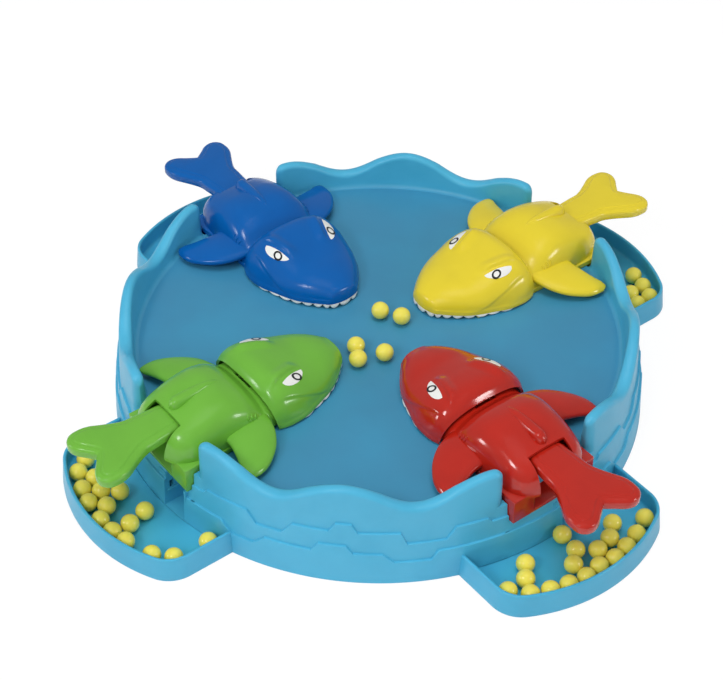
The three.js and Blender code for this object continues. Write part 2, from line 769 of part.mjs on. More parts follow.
// Teeth: a strip that follows the lip from one side round the nose to the other.
function makeTeeth(colour) {
  const perTooth = 2;
  const steps = teeth.count * perTooth;
  const stations = Array.from({ length: steps + 1 }, (_, i) => {
    const along = (2 * i) / steps - 1;
    const share = teeth.rearShare * Math.abs(along) ** teeth.crowding;
    const [, width] = rowAt(headShares, share);
    const rise = i % perTooth === 0 ? 0 : 1;
    const full = THREE.MathUtils.lerp(teeth.frontDrop, teeth.rearDrop, Math.abs(along));
    const side = Math.sign(along) * head.halfWidth * width;
    return { share, side, drop: teeth.strip + (full - teeth.strip) * rise };
  });
  const middle = stations.filter((station) => station.side !== 0);
  const outlines = middle.map(({ drop }) => [
    new THREE.Vector2(teeth.inset, -seatGap),
    new THREE.Vector2(teeth.inset, -seatGap - drop),
    new THREE.Vector2(teeth.inset + teeth.width, -seatGap - drop),
    new THREE.Vector2(teeth.inset + teeth.width, -seatGap),
  ]);
  const places = middle.map(({ share, side }) => new THREE.Vector2(nose + head.length * share, side));
  const strip = loft(outlines, (point, station) => {
    const before = places[Math.max(0, station - 1)];
    const after = places[Math.min(places.length - 1, station + 1)];
    const inward = new THREE.Vector2(before.y - after.y, after.x - before.x).normalize();
    const foot = places[station].clone().addScaledVector(inward, -point.x);
    return new THREE.Vector3(foot.x, foot.y, lipAt(middle[station].share) + point.y);
  });
  return piece(`${colour}_teeth`, strip, "teeth");
}

// Sizes of the neck that runs under the head's rim.
const rimShares = headShares.at(-1);
const neck = {
  halfWidth: head.halfWidth * rimShares[1] - head.shell - runningGap * 2,
  height: head.rimLip + head.height * rimShares[2] - head.shell - runningGap * 2 - body.foot,
};

// Rows of the body: place, half width, height and squareness, each less the shell's thickness.
function bodyRows(shell, shares) {
  const necks = [neckStart - (shell > 0 ? overrun : 0), neckEnd].map((place) => [
    place,
    neck.halfWidth - shell,
    neck.height - shell,
    head.squareness,
  ]);
  const domes = shares.map((share) => {
    const [, width, height, squareness] = rowAt(bodyShares, share);
    const full = [body.halfWidth * width - shell, body.height * height - shell];
    return [neckEnd + body.length * share, ...full, body.squareness * squareness];
  });
  return [...necks, ...domes];
}

function bodyDome(shell, shares, steps) {
  const rows = bodyRows(shell, shares);
  const footDrop = shell > 0 ? overrun : 0;
  const outlines = rows.map(([, halfWidth, height, squareness]) =>
    domeOutline(halfWidth, height, squareness, steps, footDrop),
  );
  return loft(outlines, (point, station) => {
    const [reach] = rows[station];
    return new THREE.Vector3(reach, point.x, bodyFoot + point.y);
  });
}

// Pectoral fin on one side: lens-shaped sections from root to tip.
function pectoralFin(side) {
  const steps = 8;
  const outlines = pectoralShares.map(([, front, rear, , thickness]) => {
    const middle = pectoralFront + (pectoralLength * (front + rear)) / 2;
    const half = (pectoralLength * (rear - front)) / 2;
    return Array.from({ length: steps }, (_, i) => {
      const angle = (2 * Math.PI * i) / steps;
      const rise = (pectoral.thickness / 2) * thickness * Math.sin(angle);
      return new THREE.Vector2(middle + half * Math.cos(angle), rise);
    });
  });
  return loft(outlines, (point, station) => {
    const [out, , , drop] = pectoralShares[station];
    const height = basin.floorHeight + pectoral.rootHeight - pectoral.drop * drop + point.y;
    return new THREE.Vector3(point.x, side * (pectoral.root + pectoral.span * out), height);
  });
}

function dorsalFin() {
  const outlines = dorsalShares.map(([, width, height]) =>
    domeOutline(dorsal.halfWidth * width, dorsal.depth * height, dorsal.squareness, 6),
  );
  return loft(outlines, (point, station) => {
    const reach = neckEnd + dorsal.setback + dorsal.length * dorsalShares[station][0];
    return new THREE.Vector3(reach, point.x, bodyTop + dorsal.rise - dorsal.depth + point.y);
  });
}

// Ribs inside the body that carry the hinges, and bosses over the pegs.
function bodyCarriers(inside) {
  const ribFoot = headHingeHeight - ear.radius + seatGap;
  const ribStart = earOuter + runningGap;
  const carriers = [-1, 1].flatMap((side) => [
    box(
      [neckStart + bite, side * ribStart, ribFoot],
      [headHingeReach + ear.radius + bite, side * (ribStart + ear.thickness), bodyTop],
    ),
    box(
      [tailHingeReach - hanger.halfLength, side * hanger.inner, tailHingeHeight - hanger.drop],
      [tailHingeReach + hanger.halfLength, side * (hanger.inner + hanger.thickness), bodyTop],
    ),
    post(peg.bossRadius, pegReach, side * peg.side, flangeTop, bodyTop),
  ]);
  return joined(carriers).intersect(inside);
}

function makeBody(colour) {
  const dome = bodyDome(0, bodyShares.map(([share]) => share), 10);
  const cavity = bodyDome(body.shell, bodyCavityShares, 8);
  const top = bodyTop + body.height;
  const seat = flangeTop + seatGap;
  const belowSeat = box([0, -skirtRadius, 0], [bodyEnd + overrun, skirtRadius, seat]);
  const tailSlot = box([tailCutStart, -tailCut.halfWidth, 0], [bodyEnd + overrun, tailCut.halfWidth, top]);
  const slotHalf = earOuter + runningGap / 2;
  const earSlot = box([neckStart - overrun, -slotHalf, earFoot], [headHingeReach + bite, slotHalf, top]);
  const armSlotHalf = tail.armHalfWidth + runningGap;
  const armSlot = box([neckStart, -armSlotHalf, earFoot], [neckEnd + body.shell, armSlotHalf, top]);
  const ribEnd = earOuter + runningGap + ear.thickness + bite;
  const headBore = crossBar(
    headHinge.stubRadius + seatGap,
    headHingeReach,
    headHingeHeight,
    -ribEnd,
    ribEnd,
  );
  const pinBore = crossBar(
    tailHinge.pinRadius + seatGap,
    tailHingeReach,
    tailHingeHeight,
    -tailHinge.pinHalfLength - overrun,
    tailHinge.pinHalfLength + overrun,
  );
  const outside = joined([dome, dorsalFin(), pectoralFin(-1), pectoralFin(1)]);
  const middle = bodyDome(body.shell / 2, bodyShares.slice(0, -1).map(([share]) => share), 8);
  const shell = cut(outside, [cavity]).add(bodyCarriers(middle));
  const carved = cut(shell, [belowSeat, tailSlot, earSlot, armSlot, headBore, pinBore]);
  const pegEnd = basin.floorHeight - basin.floorThickness;
  const pegs = [-1, 1].map((side) => post(peg.radius, pegReach, side * peg.side, pegEnd, seat + bite, 8));
  return piece(`${colour}_body`, joined([carved, ...pegs]), colour);
}

function makeChute(colour) {
  const floor = basin.floorHeight + seatGap;
  const flangeHalf = openingHalf - runningGap;
  const jaw = box(
    [jawFront, -chute.jawHalfWidth, floor],
    [flangeFront + bite, chute.jawHalfWidth, floor + chute.jawThickness],
  );
  const flange = box([flangeFront, -flangeHalf, floor], [chuteEnd, flangeHalf, flangeTop]);
  const block = box([blockStart, -flangeHalf, blockFoot], [chuteEnd, flangeHalf, flangeTop]);
  const trough = slab(
    [
      [flangeFront, floor + bite],
      [flangeFront, channelFloorAt(flangeFront) - chute.wall],
      [chuteEnd, channelFloorAt(chuteEnd) - chute.wall],
      [chuteEnd, floor + bite],
    ],
    -troughHalfWidth,
    troughHalfWidth,
  );
  const channel = slab(
    [
      [flangeFront + bite, channelFloorAt(flangeFront + bite)],
      [chuteEnd + overrun, channelFloorAt(chuteEnd + overrun)],
      [chuteEnd + overrun, flangeTop + overrun],
      [flangeFront - overrun, flangeTop + overrun],
      [flangeFront - overrun, floor + chute.jawThickness],
      [flangeFront + bite, floor + chute.jawThickness],
    ],
    -chute.channelHalfWidth,
    chute.channelHalfWidth,
  );
  const holes = pegHoles(0, flangeTop + overrun);
  return piece(`${colour}_chute`, cut(joined([jaw, flange, block, trough]), [channel, ...holes]), colour);
}

// Tail plate: the outline of shaft and fluke, chamfered round and tilted down to the fluke.
function tailPlate() {
  const { length } = tail;
  const side = flukeShares.map(([along, width]) => new THREE.Vector2(length * along, tail.halfSpan * width));
  const otherSide = side.map((point) => new THREE.Vector2(point.x, -point.y)).reverse();
  const outline = [...side, new THREE.Vector2(length * flukeNotchShare, 0), ...otherSide];
  const geometry = new THREE.ExtrudeGeometry(new THREE.Shape(outline), {
    depth: tail.thickness,
    bevelEnabled: true,
    bevelThickness: tail.edge,
    bevelSize: tail.edge,
    bevelOffset: -tail.edge,
    bevelSegments: 1,
  });
  const tilt = Math.atan2(tail.flukeDrop, tailEnd - tailCutStart);
  const frontTop = tailRootTop + Math.tan(tilt) * (tailCutStart - tailFront);
  geometry.translate(0, 0, -tail.thickness - tail.edge);
  geometry.rotateY(tilt);
  return solid(geometry.translate(tailFront, 0, frontTop));
}

function makeTail(colour) {
  const [reach, height] = [tailHingeReach, tailHingeHeight];
  const armHalf = tail.armThickness / 2;
  const hub = crossBar(tail.hubRadius, reach, height, -tail.hubHalfWidth, tail.hubHalfWidth);
  const link = box(
    [reach, -tail.hubHalfWidth, height - armHalf],
    [tailFront + overrun, tail.hubHalfWidth, height + tail.hubRadius],
  );
  const armEnd = earFront - tail.armReach;
  const arm = box(
    [armEnd, -tail.armHalfWidth, height - armHalf],
    [reach, tail.armHalfWidth, height + armHalf],
  );
  const boreHalf = tail.hubHalfWidth + overrun;
  const bore = crossBar(tailHinge.pinRadius + seatGap, reach, height, -boreHalf, boreHalf);
  return piece(`${colour}_tail_lever`, cut(joined([tailPlate(), hub, link, arm]), [bore]), colour);
}

function makeTailPin(colour) {
  const { pinRadius, pinHalfLength } = tailHinge;
  const pin = crossBar(pinRadius, tailHingeReach, tailHingeHeight, -pinHalfLength, pinHalfLength);
  return piece(`${colour}_tail_pin`, pin, "steel");
}

// Return spring: one wire, with a leg under the tail plate and a leg up to the body.
function makeSpring(colour) {
  const steps = 8;
  const start = tail.hubHalfWidth + spring.wire;
  const coil = Array.from({ length: Math.round(steps * spring.turns) + 1 }, (_, i) => {
    const angle = (2 * Math.PI * i) / steps - Math.PI / 2;
    return new THREE.Vector3(
      tailHingeReach - spring.radius * Math.cos(angle),
      start + (spring.pitch * i) / steps,
      tailHingeHeight + spring.radius * Math.sin(angle),
    );
  });
  const under = coil[0].clone().add(new THREE.Vector3(spring.legReach, 0, 0));
  const over = coil.at(-1).clone().add(new THREE.Vector3(0, 0, spring.legRise));
  const path = new THREE.CatmullRomCurve3([under, ...coil, over], false, "centripetal");
  const section = new THREE.Shape(
    Array.from({ length: 5 }, (_, i) => {
      const angle = (2 * Math.PI * i) / 5;
      return new THREE.Vector2(Math.cos(angle), Math.sin(angle)).multiplyScalar(spring.wire / 2);
    }),
  );
  const geometry = new THREE.ExtrudeGeometry(section, { steps: coil.length + 3, extrudePath: path });
  return piece(`${colour}_tail_spring`, solid(geometry), "steel");
}

function makeShark(colour) {
  const shark = new THREE.Group();
  shark.add(
    makeChute(colour),
    makeBody(colour),
    makeHead(colour),
    makeTeeth(colour),
    makeTail(colour),
    makeTailPin(colour),
    makeSpring(colour),
  );
  return shark;
}

function makeBall(name, x, y, floor) {
  const shape = solid(new THREE.SphereGeometry(ballRadius, 8, 5).rotateX(radians(90)));
  const ball = piece(name, shape, "ball");
  ball.position.set(x, y, floor + seatGap + ballRadius);
  return ball;
}

// Where each shark's centre line points, in degrees from +X
const sharkTurns = { red: 0, yellow: 90, blue: 180, green: 270 };
// Balls in the middle of the basin, in ball diameters along X and Y
const centreBallShares = [
  [-1, 0.9],
  [0.1, 1.55],
  [0.5, -1.95],
  [1.4, -2.5],
  [1.9, -1.05],
];
// Balls in the trays, in ball diameters: inwards from the tray's furthest point, or outwards from the
// skirt's foot where negative, and across
const trayBallShares = {
  green: [
    [2.53, -4.3],
    [1.71, -3.69],
    [1.24, -2.49],
    [2.75, -1.14],
    [1, -1.46],
    [3.03, 0.85],
    [0.92, 1.04],
    [1.68, 3.63],
  ],
  red: [
    [-0.55, 0.1],
    [2.78, 2.7],
    [2.04, 4.3],
    [1.47, 3.18],
    [1.14, 2.17],
    [2.59, -0.05],
    [0.91, -0.84],
    [1.37, -2.87],
    [2.68, -3.38],
  ],
  yellow: [
    [1.58, -2.45],
    [1.83, -3.5],
    [2.19, -4.45],
    [2.88, -3.55],
    [3.23, -4.5],
  ],
};

const game = new THREE.Group();
game.add(makeBasin());
for (const [colour, degrees] of Object.entries(sharkTurns)) {
  const side = new THREE.Group();
  side.add(makeTray(`${colour}_tray`), makeShark(colour));
  const places = trayBallShares[colour] ?? [];
  places.forEach(([inwards, across], i) => {
    const from = inwards > 0 ? skirtRadius + tray.depth : skirtRadius;
    const reach = from - inwards * ballDiameter;
    side.add(makeBall(`${colour}_tray_ball_${i + 1}`, reach, across * ballDiameter, tray.floor));
  });
  side.rotateOnAxis(up, radians(degrees));
  game.add(side);
}
centreBallShares.forEach(([x, y], i) => {
  game.add(makeBall(`centre_ball_${i + 1}`, x * ballDiameter, y * ballDiameter, basin.floorHeight));
});

export default game;
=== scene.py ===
"""Snapping shark game: the dressed pieces, the studio and the camera."""
import json
import logging
import math
from bisect import bisect_right
from dataclasses import dataclass, field
from enum import Enum
from typing import Callable, Iterable, Sequence

import bpy
from mathutils import Matrix, Vector

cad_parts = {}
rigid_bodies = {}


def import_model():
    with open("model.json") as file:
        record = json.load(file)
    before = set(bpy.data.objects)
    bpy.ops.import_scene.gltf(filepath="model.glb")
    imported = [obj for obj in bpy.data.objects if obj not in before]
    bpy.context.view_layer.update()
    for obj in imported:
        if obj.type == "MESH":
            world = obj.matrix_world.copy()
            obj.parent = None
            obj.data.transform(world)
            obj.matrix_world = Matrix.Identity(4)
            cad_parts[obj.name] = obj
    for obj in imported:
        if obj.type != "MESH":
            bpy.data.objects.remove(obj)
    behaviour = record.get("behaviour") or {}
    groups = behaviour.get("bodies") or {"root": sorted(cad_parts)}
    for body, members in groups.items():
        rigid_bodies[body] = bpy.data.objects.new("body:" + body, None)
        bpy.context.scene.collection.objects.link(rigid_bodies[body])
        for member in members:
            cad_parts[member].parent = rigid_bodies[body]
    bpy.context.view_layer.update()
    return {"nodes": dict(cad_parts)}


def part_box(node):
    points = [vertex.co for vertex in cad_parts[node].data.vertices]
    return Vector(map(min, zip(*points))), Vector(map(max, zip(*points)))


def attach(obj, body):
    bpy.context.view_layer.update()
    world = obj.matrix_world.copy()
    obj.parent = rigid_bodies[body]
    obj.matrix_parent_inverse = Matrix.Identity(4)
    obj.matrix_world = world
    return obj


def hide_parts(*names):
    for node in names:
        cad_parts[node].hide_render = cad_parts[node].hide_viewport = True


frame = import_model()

MM = 0.001
LOG = logging.getLogger("shark_game")

Point = tuple[float, float]
Place = Callable[[float, float], Vector]


# Shader signals


class Graph:
    """The node tree of one material or world."""

    def __init__(self, owner: bpy.types.ID) -> None:
        """Empty the node tree of a material or a world.

        Args:
            owner: The material or the world.
        """
        owner.use_nodes = True
        self.owner, self.tree = owner, owner.node_tree
        self.tree.nodes.clear()

    def node(self, kind: str, settings: dict | None = None, inputs: dict | None = None) -> bpy.types.Node:
        """Add one node.

        Args:
            kind: The node's type.
            settings: Properties of the node, set before its sockets.
            inputs: Values or signals for its sockets, by name or number.

        Returns:
            The new node.
        """
        made = self.tree.nodes.new(kind)
        for key, value in (settings or {}).items():
            setattr(made, key, value)
        for key, value in (inputs or {}).items():
            if isinstance(value, Signal):
                self.tree.links.new(value.socket, made.inputs[key])
            else:
                made.inputs[key].default_value = value
        return made

    def place(self) -> "Signal":
        """Coordinates of the object, in metres."""
        return self.signal("ShaderNodeTexCoord", "Object")

    def noise(self, size: float, detail: float = 3.0, stretch: tuple[float, float, float] = (1, 1, 1)) -> "Signal":
        """Soft noise from 0 to 1.

        Args:
            size: Size of its lumps in metres.
            detail: How many finer layers it has.
            stretch: How much denser it is along each axis.

        Returns:
            The noise as a number.
        """
        mapped = self.signal("ShaderNodeMapping", 0, {}, {"Vector": self.place(), "Scale": stretch})
        inputs = {"Vector": mapped, "Scale": 1 / size, "Detail": detail, "Roughness": 0.55}
        return self.signal("ShaderNodeTexNoise", 0, {}, inputs)

    def axis(self, name: str) -> "Signal":
        """One object coordinate, by its letter."""
        return self.signal("ShaderNodeSeparateXYZ", name, {}, {0: self.place()})

    def blend(self, share: "Signal", low: Sequence[float], high: Sequence[float]) -> "Signal":
        """Mix two colours.

        Args:
            share: 0 gives the first colour and 1 the second.
            low: The first colour or signal.
            high: The second colour or signal.

        Returns:
            The mixed colour.
        """
        settings = {"data_type": "RGBA", "clamp_factor": True}
        return self.signal("ShaderNodeMix", 2, settings, {0: share, 6: low, 7: high})

    def signal(
        self, kind: str, output: int | str, settings: dict | None = None, inputs: dict | None = None
    ) -> "Signal":
        """One output of a new node.

        Args:
            kind: The node's type.
            output: Name or number of the output.
            settings: Properties of the node.
            inputs: Values or signals for its sockets.

        Returns:
            The output as a signal.
        """
        return Signal(self, self.node(kind, settings, inputs).outputs[output])

    def seen(self) -> "Signal":
        """1 where the camera looks straight at a thing and 0 for all other light."""
        return self.signal("ShaderNodeLightPath", "Is Camera Ray")

    def finish(self, shader: "Signal", output: str = "ShaderNodeOutputMaterial") -> bpy.types.ID:
        """Join a shader to the output.

        Args:
            shader: The shader's output.
            output: The output node's type.

        Returns:
            The finished material or world.
        """
        self.node(output, {}, {"Surface": shader})
        return self.owner


class Signal:
    """A shader socket that takes part in Python arithmetic."""

    def __init__(self, graph: Graph, socket: bpy.types.NodeSocket) -> None:
        """Wrap a socket of a graph."""
        self.graph, self.socket = graph, socket

    def math(self, operation: str, *others: "Signal | float", swap: bool = False) -> "Signal":
        """Apply a Math node.

        Args:
            operation: The Math node's operation.
            others: The other values.
            swap: Whether this signal comes second.

        Returns:
            The result.
        """
        values = [self, *others]
        if swap:
            values.reverse()
        return self.graph.signal("ShaderNodeMath", 0, {"operation": operation}, dict(enumerate(values)))

    def __add__(self, other: "Signal | float") -> "Signal":
        """Sum."""
        return self.math("ADD", other)

    __radd__ = __add__

    def __mul__(self, other: "Signal | float") -> "Signal":
        """Product."""
        return self.math("MULTIPLY", other)

    __rmul__ = __mul__

    def __sub__(self, other: "Signal | float") -> "Signal":
        """Difference."""
        return self.math("SUBTRACT", other)

    def __rsub__(self, other: "Signal | float") -> "Signal":
        """Difference from a number."""
        return self.math("SUBTRACT", other, swap=True)

    def __pow__(self, other: "Signal | float") -> "Signal":
        """Power."""
        return self.math("POWER", other)

    def step(self, low: float, high: float) -> "Signal":
        """Rise smoothly from 0 at one value to 1 at another."""
        inputs = {"Value": self, "From Min": low, "From Max": high}
        return self.graph.signal("ShaderNodeMapRange", 0, {"interpolation_type": "SMOOTHSTEP"}, inputs)


def linear(code: str) -> tuple[float, float, float, float]:
    """A colour written as six hexadecimal digits, in linear light.

    Args:
        code: The digits, without a mark in front.

    Returns:
        Red, green, blue and 1.
    """
    parts = (int(code[i:i + 2], 16) / 255 for i in (0, 2, 4))
    return (*(c / 12.92 if c <= 0.04045 else ((c + 0.055) / 1.055) ** 2.4 for c in parts), 1.0)


# Finishes


@dataclass(frozen=True)
class Plastic:
    """Moulded plastic: a colour with a faint mottle and a soft unevenness of its gloss."""

    name: str
    slot: str
    colour: str
    shade: str
    roughness: float
    coat: float = 0.0
    mottle: float = 0.35
    mottle_size: float = 0.018
    ripple: float = 0.05
    index: float = 1.5

    def colour_signal(self, graph: Graph) -> Signal:
        """Colour over the surface."""
        cloud = graph.noise(self.mottle_size, 4.0).step(0.35, 0.75)
        return graph.blend(cloud * self.mottle, linear(self.colour), linear(self.shade))

    def roughness_signal(self, graph: Graph) -> Signal:
        """Roughness over the surface."""
        return graph.noise(0.006, 3.0) * 0.08 + (self.roughness - 0.04)

    def material(self) -> bpy.types.Material:
        """Build the material.

        Returns:
            The finished material.
        """
        graph = Graph(bpy.data.materials.new(self.name))
        height = graph.noise(0.009, 2.0) + graph.noise(0.0011, 1.0) * 0.12
        bump = {"Strength": self.ripple, "Distance": 0.0006, "Height": height}
        return graph.finish(graph.signal("ShaderNodeBsdfPrincipled", 0, {}, {
            "Base Color": self.colour_signal(graph),
            "Roughness": self.roughness_signal(graph),
            "Normal": graph.signal("ShaderNodeBump", 0, {}, bump),
            "Coat Weight": self.coat,
            "Coat Roughness": 0.04,
            "IOR": self.index,
        }))


@dataclass(frozen=True)
class BasinPlastic(Plastic):
    """The basin's plastic, with painted shade: its floor is coloured a little deeper and duller than its walls, for
    the darker look that light gives it.
    """

    # Painted shade: the floor's deeper, duller colour stands in for how light falls on it.
    shaded_floor_colour: str = "3f8bb0"
    floor_height: float = 0.0464
    floor_edge: Point = (0.166, 0.158)

    def colour_signal(self, graph: Graph) -> Signal:
        """Colour over the surface, with painted shade that makes the floor deeper and duller.

        Args:
            graph: The material's graph.

        Returns:
            The colour.
        """
        wall = super().colour_signal(graph)
        x, y, z = (graph.axis(letter) for letter in "XYZ")
        reach = (x * x + y * y) ** 0.5
        # Painted shade: a mask of the floor, where the colour is made deeper and duller for how light falls on it.
        floor_shade_mask = z.step(self.floor_height + 0.004, self.floor_height) * reach.step(*self.floor_edge)
        swirl = graph.noise(0.05, 3.0).step(0.3, 0.8) * 0.25
        floor = graph.blend(swirl, linear(self.shaded_floor_colour), linear(self.shade))
        return graph.blend(floor_shade_mask, wall, floor)


@dataclass(frozen=True)
class Steel:
    """Drawn steel wire and pins."""

    name: str
    slot: str
    colour: str = "b6babf"
    shade: str = "8d9298"

    def material(self) -> bpy.types.Material:
        """Build the material.

        Returns:
            The finished material.
        """
        graph = Graph(bpy.data.materials.new(self.name))
        streak = graph.noise(0.0012, 2.0, (1.0, 6.0, 1.0))
        return graph.finish(graph.signal("ShaderNodeBsdfPrincipled", 0, {}, {
            "Base Color": graph.blend(streak, linear(self.colour), linear(self.shade)),
            "Metallic": 1.0,
            "Roughness": streak * 0.2 + 0.2,
        }))


class Finish(Enum):
    """Every finish of the game."""

    BASIN = BasinPlastic("basin_plastic", "basin_blue", "4eb4d9", "3ca4cb", 0.36, mottle=0.4, mottle_size=0.03)
    TRAY = Plastic("tray_plastic", "tray_blue", "47aed3", "389fc6", 0.34, coat=0.1, mottle=0.4, mottle_size=0.03)
    RED = Plastic("red_shark_plastic", "red_plastic", "b92416", "ab1e12", 0.14, coat=0.25)
    GREEN = Plastic("green_shark_plastic", "green_plastic", "6fb43c", "67aa36", 0.22, coat=0.15)
    YELLOW = Plastic("yellow_shark_plastic", "yellow_plastic", "e6d030", "dcc62a", 0.22, coat=0.15)
    BLUE = Plastic("blue_shark_plastic", "blue_plastic", "005dac", "0055a0", 0.18, index=1.42)
    WHITE = Plastic("tooth_plastic", "tooth_white", "f0f0ec", "e2e4e2", 0.3)
    BLACK = Plastic("eye_ring_ink", "tooth_white", "14161a", "0d0f12", 0.3)
    BALL = Plastic("ball_plastic", "ball_yellow", "f0e45c", "ead64e", 0.2, coat=0.35, mottle=0.4, mottle_size=0.006)
    STEEL = Steel("spring_steel", "steel")

    def dress(self, piece: bpy.types.Object) -> None:
        """Give a piece this finish.

        Args:
            piece: The object to dress.
        """
        wanted = self.value
        material = bpy.data.materials.get(wanted.name) or wanted.material()
        piece.data.materials.clear()
        piece.data.materials.append(material)


# Bench: ways to make meshes


def mm(x: float, y: float, z: float) -> Vector:
    """A place given in millimetres."""
    return Vector((x, y, z)) * MM


def lerp(low: float, high: float, share: float) -> float:
    """A value between two others."""
    return low + (high - low) * share


def smooth(value: float, low: float, high: float) -> float:
    """Rise smoothly from 0 at one value to 1 at another.

    Args:
        value: Where to look.
        low: Where the rise starts.
        high: Where it ends.

    Returns:
        A share from 0 to 1.
    """
    share = min(1.0, max(0.0, (value - low) / (high - low)))
    return share * share * (3 - 2 * share)


class Profile:
    """A smooth curve through a table of values."""

    def __init__(self, knots: Sequence[Sequence[float]]) -> None:
        """Keep the table.

        Args:
            knots: Rows of a place and its values, in rising order of place.
        """
        self.places = [row[0] for row in knots]
        self.values = [tuple(row[1:]) for row in knots]

    def slope(self, index: int, column: int) -> float:
        """Slope at a knot, flat where the values turn.

        Args:
            index: The knot's row.
            column: Which of its values.

        Returns:
            The slope there.
        """
        last = len(self.places) - 1
        before, after = max(0, index - 1), min(last, index + 1)
        rise = self.values[after][column] - self.values[before][column]
        if 0 < index < last:
            back = self.values[index][column] - self.values[before][column]
            ahead = self.values[after][column] - self.values[index][column]
            if back * ahead <= 0:
                return 0.0
        return rise / (self.places[after] - self.places[before])

    def __call__(self, place: float) -> tuple[float, ...]:
        """Values at a place.

        Args:
            place: Where to look; outside the table its end row holds.

        Returns:
            The values there.
        """
        last = len(self.places) - 1
        if place <= self.places[0]:
            return self.values[0]
        if place >= self.places[last]:
            return self.values[last]
        index = bisect_right(self.places, place) - 1
        width = self.places[index + 1] - self.places[index]
        t = (place - self.places[index]) / width
        result = []
        for column in range(len(self.values[0])):
            start, end = self.values[index][column], self.values[index + 1][column]
            leave, arrive = self.slope(index, column) * width, self.slope(index + 1, column) * width
            result.append(
                (2 * t**3 - 3 * t**2 + 1) * start + (t**3 - 2 * t**2 + t) * leave
                + (3 * t**2 - 2 * t**3) * end + (t**3 - t**2) * arrive
            )
        return tuple(result)


def take(piece: bpy.types.Object) -> None:
    """Select one piece and make it the active one."""
    bpy.ops.object.select_all(action="DESELECT")
    piece.select_set(True)
    bpy.context.view_layer.objects.active = piece


def settle(piece: bpy.types.Object) -> bpy.types.Object:
    """Put a primitive's place, turn and size into its mesh, and give it back."""
    take(piece)
    bpy.ops.object.transform_apply(location=True, rotation=True, scale=True)
    return piece


def edit(piece: bpy.types.Object, *steps: Callable[[], object]) -> None:
    """Run edit-mode steps on the whole mesh of a piece.

    Args:
        piece: The piece.
        steps: Calls of mesh operators.
    """
    take(piece)
    bpy.ops.object.mode_set(mode="EDIT")
    bpy.ops.mesh.select_all(action="SELECT")
    for step in steps:
        step()
    bpy.ops.object.mode_set(mode="OBJECT")


def weld() -> None:
    """Merge the selected points that lie in one place."""
    bpy.ops.mesh.remove_doubles(threshold=0.004 * MM)


def face_out() -> None:
    """Turn the selected faces outwards."""
    bpy.ops.mesh.normals_make_consistent(inside=False)


def flip(piece: bpy.types.Object) -> None:
    """Turn every face of a piece to its other side."""
    edit(piece, lambda: bpy.ops.mesh.flip_normals())


def sheet(name: str, columns: int, rows: int, place: Place) -> bpy.types.Object:
    """Shape a grid into a surface, point by point.

    Args:
        name: The piece's name.
        columns: Squares across.
        rows: Squares along.
        place: Gives each point's place from its two shares.

    Returns:
        The piece, with its place in its mesh.
    """
    bpy.ops.mesh.primitive_grid_add(x_subdivisions=columns, y_subdivisions=rows, size=2)
    piece = bpy.context.object
    piece.name = name
    for vertex in piece.data.vertices:
        vertex.co = place((vertex.co.x + 1) / 2, (vertex.co.y + 1) / 2)
    edit(piece, weld)
    return piece


def loft(name: str, columns: int, rows: int, place: Place) -> bpy.types.Object:
    """Shape a grid into a tube with filled ends, faces outwards.

    Args:
        name: The piece's name.
        columns: Squares across.
        rows: Squares along.
        place: Gives each point's place from its two shares.

    Returns:
        The closed piece.
    """
    piece = sheet(name, columns, rows, place)
    edit(piece, lambda: bpy.ops.mesh.fill_holes(sides=0), face_out)
    return piece


def modify(piece: bpy.types.Object, kind: str, **settings: object) -> None:
    """Add a modifier and apply it.

    Args:
        piece: The piece.
        kind: The modifier's type.
        settings: Its properties.
    """
    take(piece)
    modifier = piece.modifiers.new(kind.lower(), kind)
    for key, value in settings.items():
        setattr(modifier, key, value)
    bpy.ops.object.modifier_apply(modifier=modifier.name)


def thicken(piece: bpy.types.Object, wall: float, even: bool = True) -> bpy.types.Object:
    """Give a sheet a wall behind its face, in millimetres, of even width also round sharp bends."""
    modify(piece, "SOLIDIFY", thickness=wall * MM, offset=-1.0, use_even_offset=even)
    return piece


def block(name: str, low: Sequence[float], high: Sequence[float], edge: float = 0.4) -> bpy.types.Object:
    """A block with bevelled edges between two corners.

    Args:
        name: The piece's name.
        low: One corner in millimetres.
        high: The opposite corner.
        edge: Width of the bevels.

    Returns:
        The block.
    """
    middle = [(a + b) / 2 for a, b in zip(low, high)]
    size = [abs(b - a) for a, b in zip(low, high)]
    bpy.ops.mesh.primitive_cube_add(size=1, location=mm(*middle), scale=mm(*size))
    piece = settle(bpy.context.object)
    piece.name = name
    edge = min(edge, min(size) / 2.5)
    if edge > 0:
        edit(piece, lambda: bpy.ops.mesh.bevel(offset=edge * MM, segments=2, affect="EDGES"))
    return piece


def rod(name: str, radius: float, start: Sequence[float], end: Sequence[float], sides: int = 24) -> bpy.types.Object:
    """A round rod with bevelled ends.

    Args:
        name: The piece's name.
        radius: Its radius in millimetres.
        start: The middle of one end.
        end: The middle of the other.
        sides: Its number of sides.

    Returns:
        The rod.
    """
    first, last = mm(*start), mm(*end)
    turn = (last - first).to_track_quat("Z", "Y").to_euler()
    bpy.ops.mesh.primitive_cylinder_add(
        vertices=sides, radius=radius * MM, depth=(last - first).length, location=(first + last) / 2, rotation=turn
    )
    piece = settle(bpy.context.object)
    piece.name = name
    modify(piece, "BEVEL", width=radius * 0.2 * MM, segments=2, limit_method="ANGLE", angle_limit=math.radians(60))
    return piece


def carve(piece: bpy.types.Object, cutters: Iterable[bpy.types.Object]) -> None:
    """Cut closed shapes out of a closed piece and drop them.

    Args:
        piece: The piece.
        cutters: What to cut out of it.
    """
    for cutter in cutters:
        modify(piece, "BOOLEAN", operation="DIFFERENCE", object=cutter, solver="EXACT")
        bpy.data.objects.remove(cutter, do_unlink=True)


def join(name: str, pieces: Sequence[bpy.types.Object]) -> bpy.types.Object:
    """Join pieces into the first one.

    Args:
        name: The name of the whole.
        pieces: The pieces.

    Returns:
        The whole.
    """
    take(pieces[0])
    for piece in pieces:
        piece.select_set(True)
    bpy.ops.object.join()
    pieces[0].name = name
    return pieces[0]


